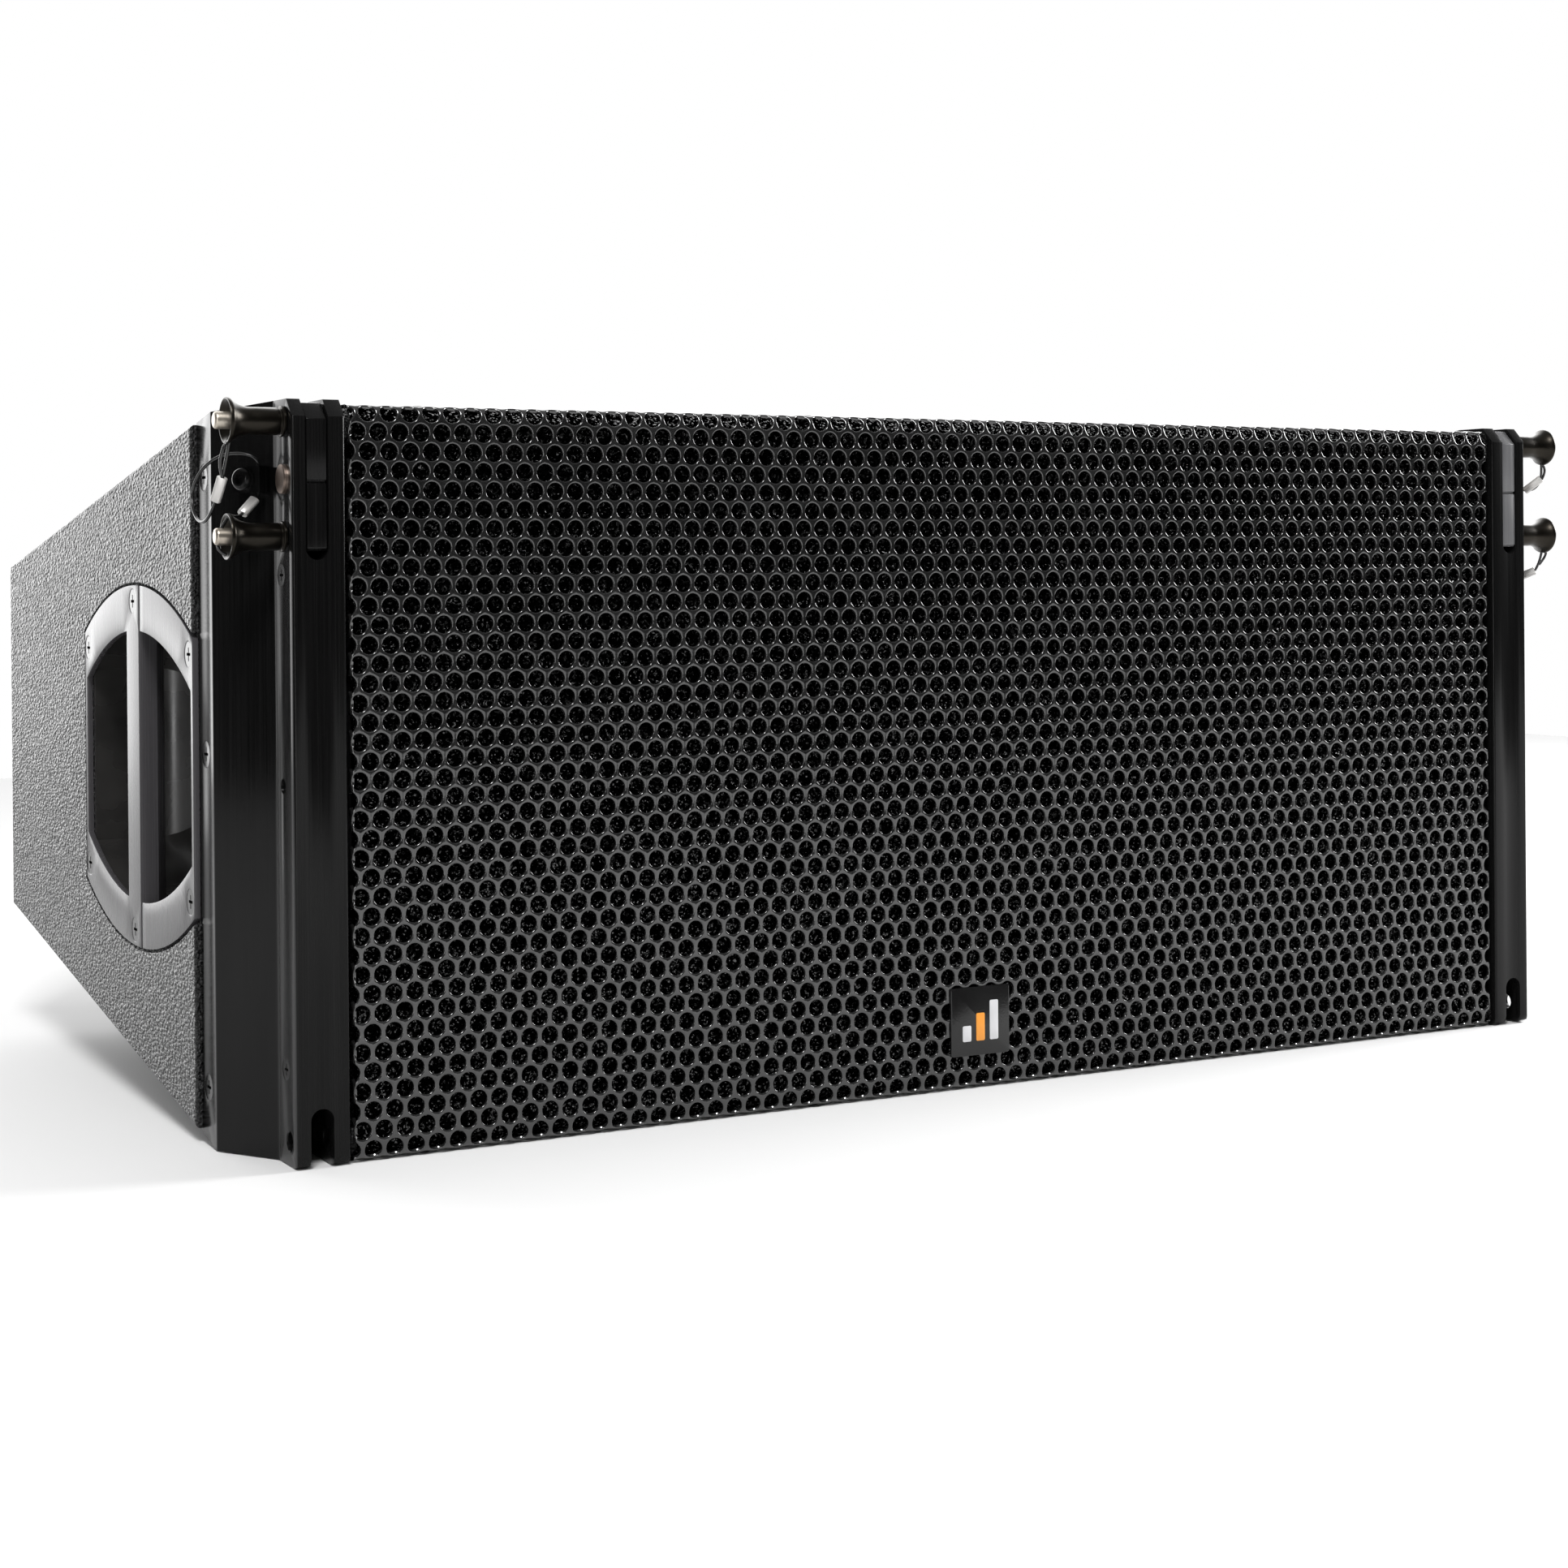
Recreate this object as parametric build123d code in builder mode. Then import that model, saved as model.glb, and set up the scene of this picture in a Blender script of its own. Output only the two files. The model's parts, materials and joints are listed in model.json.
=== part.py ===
from build123d import *
import math
import os

# Line array loudspeaker element: a tapered plywood cabinet with two 10 inch woofers and a
# centre horn behind a perforated grille, a rigging column at each front corner with sliding
# link bars and ball-lock pins, recessed side handles, and a splay link at the back.
# Millimetres. X is the width, Y runs from the grille to the back, Z is up. The origin is on
# the bottom plane, under the middle of the box that holds the whole element.
# "depth" always means the distance behind the front face of the columns.

os.makedirs("parts", exist_ok=True)

# ---- driving dimensions ----
TOTAL_DEPTH = 500.0          # front of the columns to the back of the rear bracket
CABINET_DEPTH = 472.0        # front of the columns to the outer face of the rear panel
HALF_WIDTH = 383.0           # outer face of a side panel
HALF_FRONT = 169.0           # half the cabinet's height at the front
HALF_BACK = 99.0             # half the cabinet's height at the back
MID = 169.0                  # height of the cabinet's middle plane
TAPER_START = 44.0           # depth where the top and bottom begin to slope
PLY = 15.0                   # plywood of the top, bottom and rear panels
SIDE_FRONT = 83.0            # depth of a side panel's front edge, behind the column flange
SIDE_INNER = 366.0           # inner face of a side panel
FLANGE_FACE = 380.0          # outer face of the column's rear flange
COLUMN_TOP = 340.0
COLUMN_OUT = 361.0           # outer face of a column
COLUMN_IN = 337.0            # inner face of a column
COLUMN_DEPTH = 50.0          # depth of the column's solid spine, up to the baffle
SLOT_OUT = 355.0
SLOT_IN = 344.5
SLOT_DEPTH = 34.0
BAFFLE_FRONT = 50.0
BAFFLE_BACK = 68.0
PIN_DEPTH = 12.0             # depth of the pin axes
UPPER_PIN = 330.0            # heights of the pin axes
LOWER_PIN = 279.0
GUIDE_PIN = 304.5
BOTTOM_BORE = 10.7
PIN_RADIUS = 4.0
PIN_BORE = 4.08
FREE_BORE = 4.3
WOOFER_X = 204.5
SCREW_SHANK = 2.4
SCREW_BORE = 2.5
FRONT = -TOTAL_DEPTH / 2     # Y of the columns' front face
SIDES = {"left": -1, "right": 1}
TAPER = (HALF_FRONT - HALF_BACK) / (CABINET_DEPTH - TAPER_START)
PLY_SLOPED = PLY * math.hypot(1, TAPER)


def outer_half(depth):
    """Half height of the cabinet's outside at a depth."""
    return HALF_FRONT - max(0.0, depth - TAPER_START) * TAPER


def inner_half(depth):
    """Half height of the cabinet's inside at a depth."""
    return outer_half(depth) - PLY_SLOPED


def front_plane(depth):
    """Upright plane across the width, X right and Z up; a negative extrusion runs back."""
    return Plane.XZ.offset(-(FRONT + depth))


def outline(points):
    """Face with straight sides, at its own coordinates, in the current sketch."""
    Polygon(*points, align=None)


def side_outline(points):
    """The same for a side view, from (depth, height) pairs."""
    outline([(FRONT + depth, height) for depth, height in points])


def save(builder, name):
    """Label a finished piece and write it."""
    builder.part.label = name
    export_step(builder.part, f"parts/{name}.step")


def turned(axis_x, axis_z, points):
    """Solid of revolution about a front-to-back axis, from (radius, depth) pairs."""
    base = Plane(origin=(axis_x, FRONT, axis_z), x_dir=(1, 0, 0), z_dir=(0, 0, 1))
    with BuildSketch(base) as profile:
        outline(points)
    revolve(profile.sketch, axis=Axis((axis_x, FRONT, axis_z), (0, 1, 0)))


def sideways(x, depth, z, out):
    """Plane whose X runs outwards along the width and whose Y is up, for turned pins."""
    return Plane(origin=(x, FRONT + depth, z), x_dir=(out, 0, 0), z_dir=(0, -out, 0))


# ---- cabinet panels ----
HANDLE_MIDDLE = 186.0        # depth of the handle's centre
HANDLE_HEIGHT = 168.0        # height of the handle's centre
HANDLE_HALF = 103.0          # half the plate's length, front to back
PLATE_RISE = 89.5            # half the plate's height in the middle
PLATE_SHOULDER = 64.5        # half the plate's height at its ends
PLATE_THICK = 3.0
OPENING_HALF = 99.5
OPENING_RISE = 67.0
OPENING_SHOULDER = 40.5
HANDLE_SCREWS = [(-96.0, 57.5), (-96.0, -57.5), (5.0, 81.5), (5.0, -81.5), (96.5, 56.5), (96.5, -56.5)]


def barrel(half, rise, shoulder, front_half=None):
    """Barrel outline: straight ends, and top and bottom as one arc each; its front can be longer."""
    middle = FRONT + HANDLE_MIDDLE
    fore = middle - (front_half or half)
    aft = middle + half
    low = HANDLE_HEIGHT
    with BuildLine() as rim:
        ThreePointArc((fore, low + shoulder), (middle, low + rise), (aft, low + shoulder))
        Line((aft, low + shoulder), (aft, low - shoulder))
        ThreePointArc((aft, low - shoulder), (middle, low - rise), (fore, low - shoulder))
        Line((fore, low - shoulder), (fore, low + shoulder))
    make_face(rim.edges())


def make_side_panel(name, side):
    corners = [
        (SIDE_FRONT, MID + outer_half(SIDE_FRONT)),
        (CABINET_DEPTH, MID + HALF_BACK),
        (CABINET_DEPTH, MID - HALF_BACK),
        (SIDE_FRONT, MID - outer_half(SIDE_FRONT)),
    ]
    tongue = [
        (66.0, MID + outer_half(66.0) - 1.0),
        (SIDE_FRONT, MID + outer_half(SIDE_FRONT) - 1.0),
        (SIDE_FRONT, MID - outer_half(SIDE_FRONT) + 1.0),
        (66.0, MID - outer_half(66.0) + 1.0),
    ]
    with BuildPart() as panel:
        with BuildSketch(Plane.YZ.offset(side * SIDE_INNER)):
            side_outline(corners)
        extrude(amount=side * (HALF_WIDTH - SIDE_INNER))
        rim = panel.faces().sort_by(Axis.X)[-1 if side > 0 else 0].edges()
        fillet(rim, radius=2.0)
        with BuildSketch(Plane.YZ.offset(side * SIDE_INNER)):
            side_outline(tongue)
        extrude(amount=side * 9.8)
        with BuildSketch(Plane.YZ.offset(side * (HALF_WIDTH - PLATE_THICK))):
            barrel(HANDLE_HALF + 1.2, PLATE_RISE + 1.4, PLATE_SHOULDER + 1.2, HANDLE_HALF + 3.0)
        extrude(amount=side * 10.0, mode=Mode.SUBTRACT)
        with BuildSketch(Plane.YZ.offset(side * (SIDE_INNER - 5.0))):
            barrel(OPENING_HALF - 1.2, OPENING_RISE + 6.3, OPENING_SHOULDER + 6.3)
        extrude(amount=side * 30.0, mode=Mode.SUBTRACT)
        for along, up in HANDLE_SCREWS:
            with Locations(sideways(side * 360.0, HANDLE_MIDDLE + along, HANDLE_HEIGHT + up, side)):
                Cylinder(3.3, 60.0, rotation=(0, 90, 0), mode=Mode.SUBTRACT)
        for depth, height in FLANGE_SCREWS:
            with Locations(sideways(side * 370.0, depth, height, side)):
                Cylinder(SCREW_BORE, 30.0, rotation=(0, 90, 0), mode=Mode.SUBTRACT)
    save(panel, name)


def make_top_or_bottom(name, up):
    """Top panel (up = 1) or bottom panel (up = -1), rebated for the grille's return."""
    section = [
        (4.2, MID + up * (HALF_FRONT - 6.6)),
        (9.0, MID + up * (HALF_FRONT - 1.8)),
        (14.8, MID + up * (HALF_FRONT - 1.8)),
        (14.8, MID + up * HALF_FRONT),
        (TAPER_START, MID + up * HALF_FRONT),
        (CABINET_DEPTH, MID + up * HALF_BACK),
        (CABINET_DEPTH, MID + up * inner_half(CABINET_DEPTH)),
        (TAPER_START, MID + up * inner_half(TAPER_START)),
        (4.2, MID + up * inner_half(TAPER_START)),
    ]
    with BuildPart() as panel:
        with BuildSketch(Plane.YZ.offset(-SIDE_INNER)):
            side_outline(section)
        extrude(amount=2 * SIDE_INNER)
        for side in SIDES.values():
            near = side * 336.6
            far = side * 380.0
            with BuildSketch(Plane.XY.offset(MID)):
                outline([(near, FRONT), (far, FRONT), (far, FRONT + 50.2), (near, FRONT + 50.2)])
            extrude(amount=up * 200.0, mode=Mode.SUBTRACT)
            pin_height = UPPER_PIN if up > 0 else BOTTOM_BORE
            with Locations(sideways(side * 337.0, PIN_DEPTH, pin_height, side)):
                Cylinder(5.0, 12.0, rotation=(0, 90, 0), mode=Mode.SUBTRACT)
        with Locations([(x, FRONT + 9.5, MID + up * (HALF_FRONT - 8.0)) for x in GRILLE_SCREW_X]):
            Cylinder(1.7, 20.0, mode=Mode.SUBTRACT)
    save(panel, name)


def make_rear_panel():
    edge = CABINET_DEPTH - PLY
    with BuildPart() as panel:
        with BuildSketch(Plane.YZ.offset(-SIDE_INNER)):
            side_outline([
                (edge, MID + inner_half(edge)),
                (CABINET_DEPTH, MID + inner_half(CABINET_DEPTH)),
                (CABINET_DEPTH, MID - inner_half(CABINET_DEPTH)),
                (edge, MID - inner_half(edge)),
            ])
        extrude(amount=2 * SIDE_INNER)
        with BuildSketch(front_plane(edge - 5.0)):
            with Locations([(INPUT_X, INPUT_Z)]):
                Rectangle(INPUT_WIDTH - 24.0, INPUT_HEIGHT - 20.0)
            with Locations([(INPUT_X + x, INPUT_Z + z) for x, z in INPUT_SCREWS]):
                Circle(1.7)
            with Locations([(x, z) for x, z in BRACKET_SCREWS]):
                Circle(3.1)
        extrude(amount=-30.0, mode=Mode.SUBTRACT)
    save(panel, "rear_panel")


# ---- front baffle, braces ----
HORN_OPENING = (118.0, 272.0)
HORN_FLANGE = (144.0, 292.0)
HORN_SCREWS = [(x, z) for x in (-65.5, 65.5) for z in (-130.0, -45.0, 45.0, 130.0)]
DRIVER_BOLT_CIRCLE = 50.0
WOOFER_CUTOUT = 117.0
WOOFER_RIM = 131.0
WOOFER_SCREW_CIRCLE = 124.0


def make_front_baffle():
    with BuildPart() as baffle:
        with BuildSketch(Plane.YZ.offset(-SIDE_INNER + 0.2)):
            side_outline([
                (BAFFLE_FRONT + 0.2, MID + inner_half(BAFFLE_FRONT + 0.2)),
                (BAFFLE_BACK, MID + inner_half(BAFFLE_BACK)),
                (BAFFLE_BACK, MID - inner_half(BAFFLE_BACK)),
                (BAFFLE_FRONT + 0.2, MID - inner_half(BAFFLE_FRONT + 0.2)),
            ])
        extrude(amount=2 * SIDE_INNER - 0.4)
        with BuildSketch(front_plane(BAFFLE_FRONT - 5.0)):
            with Locations([(-WOOFER_X, MID), (WOOFER_X, MID)]):
                Circle(WOOFER_CUTOUT)
                with PolarLocations(WOOFER_SCREW_CIRCLE, 8, start_angle=22.5):
                    Circle(SCREW_BORE)
            with Locations([(0, MID)]):
                Rectangle(*HORN_OPENING)
            with Locations([(x, MID + z) for x, z in HORN_SCREWS]):
                Circle(SCREW_BORE)
        extrude(amount=-40.0, mode=Mode.SUBTRACT)
    save(baffle, "front_baffle")


def make_internal_braces():
    """Two partitions that close off the horn's chamber from the woofers'."""
    edge = CABINET_DEPTH - PLY
    with BuildPart() as braces:
        for side in SIDES.values():
            with BuildSketch(Plane.YZ.offset(side * 80.0)):
                side_outline([
                    (BAFFLE_BACK, MID + inner_half(BAFFLE_BACK)),
                    (edge, MID + inner_half(edge)),
                    (edge, MID - inner_half(edge)),
                    (BAFFLE_BACK, MID - inner_half(BAFFLE_BACK)),
                ])
            extrude(amount=side * 12.0)
    save(braces, "internal_braces")


# ---- rigging columns ----
FLANGE_SCREWS = [(72.5, 307.0), (72.5, 180.0), (72.5, 27.0)]
CHEEK_SCREWS = [(17.5, 262.0), (16.5, 42.0)]
CHEEK_HOLE = (17.0, 168.0)
LUG_HEIGHT = 305.0
WEB_START = (361.0, 27.0)    # where the slanted web leaves the column's outer face
WEB_END = (380.0, 60.0)      # where it meets the flange


def countersunk_bore(side, x, depth, z, head, shank, reach):
    """Bore into an outer face at x, with a 90 degree seat for a flush screw head."""
    place = sideways(side * x, depth, z, side)
    with BuildSketch(place) as profile:
        outline([(-reach, 0), (-reach, shank), (shank - head, shank), (0, head), (2, head), (2, 0)])
    revolve(profile.sketch, axis=Axis((side * x, FRONT + depth, z), (1, 0, 0)), mode=Mode.SUBTRACT)


def make_front_frame(name, side):
    plan = [
        (COLUMN_IN, 0), (COLUMN_OUT, 0), WEB_START, WEB_END, (FLANGE_FACE, SIDE_FRONT),
        (376.0, SIDE_FRONT), (376.0, 63.5), (368.3, COLUMN_DEPTH), (COLUMN_IN, COLUMN_DEPTH),
    ]
    silhouette = [
        (0, 4.5), (1.3, 1.3), (4.5, 0), (60.0, 0), (SIDE_FRONT, 4.5), (SIDE_FRONT, 332.6), (60.0, 336.5),
        (27.0, COLUMN_TOP), (8.0, COLUMN_TOP), (0, 332.0),
    ]
    middle = (SLOT_OUT + SLOT_IN) / 2
    width = SLOT_OUT - SLOT_IN
    with BuildPart() as frame:
        with BuildSketch(Plane.XY):
            outline([(side * x, FRONT + depth) for x, depth in plan])
        extrude(amount=COLUMN_TOP)
        soft = frame.edges().filter_by(Axis.Z).group_by(Axis.Y)[0]
        fillet(soft, radius=1.2)
        for corner, radius in ((WEB_START, 5.0), (WEB_END, 3.0)):
            bend = frame.edges().filter_by(Axis.Z).filter_by(
                lambda e: math.hypot(abs(e.center().X) - corner[0], e.center().Y - FRONT - corner[1]) < 0.1
            )
            fillet(bend, radius=radius)
        with BuildSketch(Plane.YZ.offset(side * 330.0)):
            side_outline(silhouette)
        extrude(amount=side * 60.0, mode=Mode.INTERSECT)
        with BuildSketch(front_plane(-5.0)):
            with Locations([(side * middle, 268.5 + width / 2)]):
                Circle(width / 2)
            with Locations([(side * middle, 268.5 + width / 2 + 50.0)]):
                Rectangle(width, 100.0)
            with Locations([(side * middle, 26.0 - width / 2)]):
                Circle(width / 2)
            with Locations([(side * middle, 26.0 - width / 2 - 25.0)]):
                Rectangle(width, 50.0)
        extrude(amount=-(SLOT_DEPTH + 5.0), mode=Mode.SUBTRACT)
        snug = [(height, PIN_BORE) for height in (UPPER_PIN, LOWER_PIN, GUIDE_PIN)]
        for height, radius in snug + [(BOTTOM_BORE, FREE_BORE)]:
            with Locations(sideways(side * (COLUMN_IN + COLUMN_OUT) / 2, PIN_DEPTH, height, side)):
                Cylinder(radius, 40.0, rotation=(0, 90, 0), mode=Mode.SUBTRACT)
        with Locations(sideways(side * COLUMN_OUT, CHEEK_HOLE[0], CHEEK_HOLE[1], side)):
            Cylinder(3.4, 10.0, rotation=(0, 90, 0), mode=Mode.SUBTRACT)
        for depth, height in CHEEK_SCREWS:
            countersunk_bore(side, COLUMN_OUT, depth, height, 5.2, SCREW_BORE, 16.0)
        for depth, height in FLANGE_SCREWS:
            countersunk_bore(side, FLANGE_FACE, depth, height, 6.3, SCREW_BORE, 16.0)
        free_rim = frame.edges().filter_by(GeomType.CIRCLE).filter_by(
            lambda e: abs(e.radius - FREE_BORE) < 0.01 and abs(abs(e.center().X) - COLUMN_OUT) < 0.1
        )
        chamfer(free_rim, length=0.5)
    save(frame, name)


def flush_screw(side, x, depth, z, head, length):
    """Countersunk screw set 0.2 mm below an outer face, with a cross recess."""
    place = sideways(side * (x - 0.2), depth, z, side)
    with BuildSketch(place) as profile:
        outline([(-length, 0), (-length, SCREW_SHANK), (SCREW_SHANK - head, SCREW_SHANK), (0, head), (0, 0)])
    revolve(profile.sketch, axis=Axis((side * x, FRONT + depth, z), (1, 0, 0)))
    with BuildSketch(Plane.YZ.offset(side * (x - 0.2))) as cross:
        with Locations([(FRONT + depth, z)]):
            Rectangle(head * 1.05, head * 0.22)
            Rectangle(head * 0.22, head * 1.05)
    extrude(cross.sketch, amount=-side * head * 0.4, mode=Mode.SUBTRACT)


def make_frame_screws():
    with BuildPart() as screws:
        for side in SIDES.values():
            for depth, height in FLANGE_SCREWS:
                flush_screw(side, FLANGE_FACE, depth, height, 6.0, 13.0)
            for depth, height in CHEEK_SCREWS:
                flush_screw(side, COLUMN_OUT, depth, height, 4.9, 15.0)
    save(screws, "frame_screws")


def make_link_bar(name, side):
    """Link bar in its stored place: a bore for the upper pin and a slot for the others."""
    with BuildPart() as bar:
        with BuildSketch(Plane.YZ.offset(side * 345.2)):
            side_outline([
                (0.6, 273.8), (2.0, 272.4), (32.0, 272.4), (32.0, 338.4), (8.4, 338.4), (0.6, 331.0),
                (0.6, 303.8), (1.8, 303.8), (1.8, 302.4), (0.6, 302.4),
            ])
            with Locations([(FRONT + PIN_DEPTH, UPPER_PIN)]):
                Circle(4.4, mode=Mode.SUBTRACT)
            with Locations([(FRONT + PIN_DEPTH, (LOWER_PIN + GUIDE_PIN) / 2)]):
                SlotCenterToCenter(GUIDE_PIN - LOWER_PIN, 8.8, rotation=90, mode=Mode.SUBTRACT)
        extrude(amount=side * 9.1)
    save(bar, name)


def make_guide_pins():
    """Captive pins that the link bars slide on, with flat disc heads."""
    with BuildPart() as pins:
        for side in SIDES.values():
            place = sideways(side * COLUMN_OUT, PIN_DEPTH, GUIDE_PIN, side)
            with BuildSketch(place):
                outline([(-23.5, 0), (-23.5, 4.0), (0, 4.0), (0, 6.65), (1.6, 6.65), (2.0, 6.2), (2.0, 0)])
            revolve(axis=Axis((side * COLUMN_OUT, FRONT + PIN_DEPTH, GUIDE_PIN), (1, 0, 0)))
    save(pins, "link_guide_pins")


def web_plane(side):
    """Plane on the web's outer face: X forward along the web, Y up, Z outwards."""
    run = (WEB_END[0] - WEB_START[0], WEB_END[1] - WEB_START[1])
    size = math.hypot(*run)
    forward = (-side * run[0] / size, -run[1] / size, 0)
    outward = (side * run[1] / size, -run[0] / size, 0)
    centre = (side * (WEB_START[0] + WEB_END[0]) / 2, FRONT + (WEB_START[1] + WEB_END[1]) / 2, LUG_HEIGHT)
    return Plane(origin=centre, x_dir=forward, z_dir=outward)


LUG_BACK = 1.2               # places along the web, forward of its middle
LUG_SCREW = 7.5
LUG_GAP = 13.0
LUG_FRONT = 16.7
LUG_RISE = 6.6
LUG_WIDE = 11.5


def make_lanyard_lugs():
    """Raised lugs on the webs; the lanyards hook into the gap behind the folded front leg."""
    with BuildPart() as lugs:
        for side in SIDES.values():
            base = web_plane(side)
            with BuildSketch(base.offset(0.05)):
                with Locations([((LUG_BACK + LUG_FRONT) / 2, 0)]):
                    Rectangle(LUG_FRONT - LUG_BACK, LUG_WIDE)
            extrude(amount=LUG_RISE - 0.05)
            with BuildSketch(base):
                with Locations([(LUG_GAP, 0)]):
                    Rectangle(3.4, LUG_WIDE + 2.0)
            extrude(amount=4.7, mode=Mode.SUBTRACT)
            with BuildSketch(base):
                with Locations([(LUG_SCREW, 0)]):
                    Circle(3.2)
            extrude(amount=LUG_RISE + 2.0, mode=Mode.SUBTRACT)
    save(lugs, "lanyard_lugs")


def make_lug_screws():
    """Button-head screws with washers."""
    crown = LUG_RISE + 3.8
    with BuildPart() as screws:
        for side in SIDES.values():
            base = web_plane(side)
            for radius, foot, top in ((6.0, LUG_RISE + 0.05, LUG_RISE + 0.85), (5.25, LUG_RISE + 0.8, crown)):
                with BuildSketch(base.offset(foot)):
                    with Locations([(LUG_SCREW, 0)]):
                        Circle(radius)
                extrude(amount=top - foot)
            dome = screws.edges().filter_by(GeomType.CIRCLE).filter_by(
                lambda e: abs((e.center() - base.origin).dot(base.z_dir) - crown) < 0.05
            )
            fillet(dome, radius=2.4)
            with BuildSketch(base.offset(crown + 0.1)):
                with Locations([(LUG_SCREW, 0)]):
                    RegularPolygon(2.3, 6)
            extrude(amount=-2.4, mode=Mode.SUBTRACT)
            with BuildSketch(base.offset(0.05)):
                with Locations([(LUG_SCREW, 0)]):
                    Circle(3.0)
            extrude(amount=LUG_RISE + 0.1)
    save(screws, "lug_screws")


# ---- ball-lock pins ----
def make_pin(name, x, depth, z, side, reach):
    """Ball-lock pin: shank, collar, and a trumpet handle hollowed for the push button."""
    place = sideways(side * x, depth, z, side)
    with BuildPart() as pin:
        with BuildSketch(place):
            with BuildLine():
                Polyline(
                    (-reach, 0), (-reach, PIN_RADIUS - 0.9), (0.9 - reach, PIN_RADIUS), (0.4, PIN_RADIUS),
                    (0.4, 6.9), (1.8, 6.9), (2.4, 6.15), (13.5, 6.15),
                )
                ThreePointArc((13.5, 6.15), (20.4, 7.3), (24.6, 10.1))
                Polyline((24.6, 10.1), (25.2, 10.3), (26.2, 10.2), (26.2, 9.3))
                ThreePointArc((26.2, 9.3), (22.6, 6.9), (19.5, 5.9))
                Polyline((19.5, 5.9), (19.5, 4.1), (8.0, 4.1), (8.0, 0), (-reach, 0))
            make_face()
        revolve(axis=Axis((side * x, FRONT + depth, z), (1, 0, 0)))
    save(pin, name)


def make_pin_button(name, x, depth, z, side):
    """Spring-loaded push button that frees the pin's balls."""
    place = sideways(side * x, depth, z, side)
    with BuildPart() as button:
        with BuildSketch(place):
            outline([(13.0, 0), (13.0, 3.9), (30.6, 3.9), (31.3, 3.2), (31.3, 0)])
        revolve(axis=Axis((side * x, FRONT + depth, z), (1, 0, 0)))
    save(button, name)


# ---- lanyards, plain tubes on rounded routes: (x, depth, z) from the pin to the lug ----
LANYARD = 1.5
LANYARD_ROUTES = {
    "lanyard_upper_left": [
        (-385.4, 12.0, 320.6), (-387.0, 14.0, 308.0), (-389.2, 20.0, 294.5), (-390.6, 31.5, 285.2),
        (-391.2, 45.0, 287.0), (-391.2, 54.0, 297.5), (-388.2, 50.0, 309.5), (-380.5, 38.5, 317.0),
        (-368.4, 29.0, 316.0), (-366.9, 30.4, 311.5),
    ],
    "lanyard_lower_left": [
        (-385.6, 12.0, 288.6), (-383.4, 15.6, 288.0), (-378.6, 20.4, 288.0), (-375.4, 23.6, 290.4),
        (-366.9, 30.4, 298.1),
    ],
    "lanyard_upper_right": [
        (385.4, 12.0, 320.6), (387.2, 13.0, 311.5), (384.6, 18.5, 304.6), (377.4, 24.0, 306.4),
        (368.4, 29.0, 316.0), (366.9, 30.4, 311.5),
    ],
    "lanyard_lower_right": [
        (385.4, 12.0, 269.6), (385.0, 14.5, 259.0), (379.6, 22.0, 253.0), (373.4, 32.0, 256.5),
        (371.8, 33.0, 270.0), (371.6, 29.0, 285.0), (366.9, 30.4, 298.1),
    ],
}


def make_lanyard(name, route):
    points = [Vector(x, FRONT + depth, z) for x, depth, z in route]
    radii = []
    for before, here, after in zip(points, points[1:], points[2:]):
        first = here - before
        second = after - here
        turn = math.radians(first.get_angle(second))
        radii.append(0.45 * min(first.length, second.length) / math.tan(turn / 2))
    with BuildLine() as route_line:
        FilletPolyline(*points, radius=radii)
    path = route_line.wires()[0]
    with BuildPart() as tube:
        with BuildSketch(Plane(origin=path @ 0, z_dir=path % 0)):
            Circle(LANYARD / 2)
        sweep(path=path)
    section = math.pi * LANYARD**2 / 4
    ratio = tube.part.volume / (section * path.length)
    print(name, "length", round(path.length, 1), "volume ratio", round(ratio, 3))
    print("  radii", [round(radius, 1) for radius in radii])
    save(tube, name)


# ---- handles ----
def make_handle_plate(name, side):
    """Flush barrel-shaped plate with two openings and a rounded grip bar between them."""
    bar_fore = FRONT + 179.5
    bar_aft = FRONT + 202.5
    face = HALF_WIDTH
    with BuildPart() as plate:
        with BuildSketch(Plane.YZ.offset(side * (face - PLATE_THICK + 0.05))):
            barrel(HANDLE_HALF, PLATE_RISE, PLATE_SHOULDER)
        extrude(amount=side * (PLATE_THICK - 0.05))
        with BuildSketch(Plane.YZ.offset(side * (face - 8.0))):
            barrel(OPENING_HALF, OPENING_RISE, OPENING_SHOULDER)
        extrude(amount=side * 12.0, mode=Mode.SUBTRACT)
        with BuildSketch(Plane.XY.offset(HANDLE_HEIGHT - OPENING_RISE - 2.0)):
            outline([
                (side * face, bar_fore), (side * face, bar_aft), (side * (face - 9.0), bar_aft),
                (side * (face - 14.0), bar_aft - 6.0), (side * (face - 14.0), bar_fore + 6.0),
                (side * (face - 9.0), bar_fore),
            ])
        extrude(amount=2 * OPENING_RISE + 4.0)
        with BuildSketch(Plane.YZ.offset(side * (face - 1.2))):
            with Locations([(bar_fore - 1.7, HANDLE_HEIGHT)]):
                Rectangle(2.4, 200.0)
        extrude(amount=side * 4.0, mode=Mode.SUBTRACT)
        for along, up in HANDLE_SCREWS:
            countersunk_bore(side, face, HANDLE_MIDDLE + along, HANDLE_HEIGHT + up, 6.3, SCREW_BORE, 8.0)
    save(plate, name)


def make_handle_cup(name, side):
    """Deep rounded cup behind the plate, open outwards."""
    mouth = HALF_WIDTH - PLATE_THICK
    with BuildPart() as cup:
        with BuildSketch(Plane.YZ.offset(side * (mouth - 55.0))):
            barrel(OPENING_HALF - 1.6, OPENING_RISE + 5.8, OPENING_SHOULDER + 5.8)
        extrude(amount=side * 54.9)
        inner_end = cup.faces().sort_by(Axis.X)[0 if side > 0 else -1]
        fillet(inner_end.edges(), radius=24.0)
        open_end = cup.faces().sort_by(Axis.X)[-1 if side > 0 else 0]
        offset(amount=-2.5, openings=open_end)
    save(cup, name)


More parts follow.
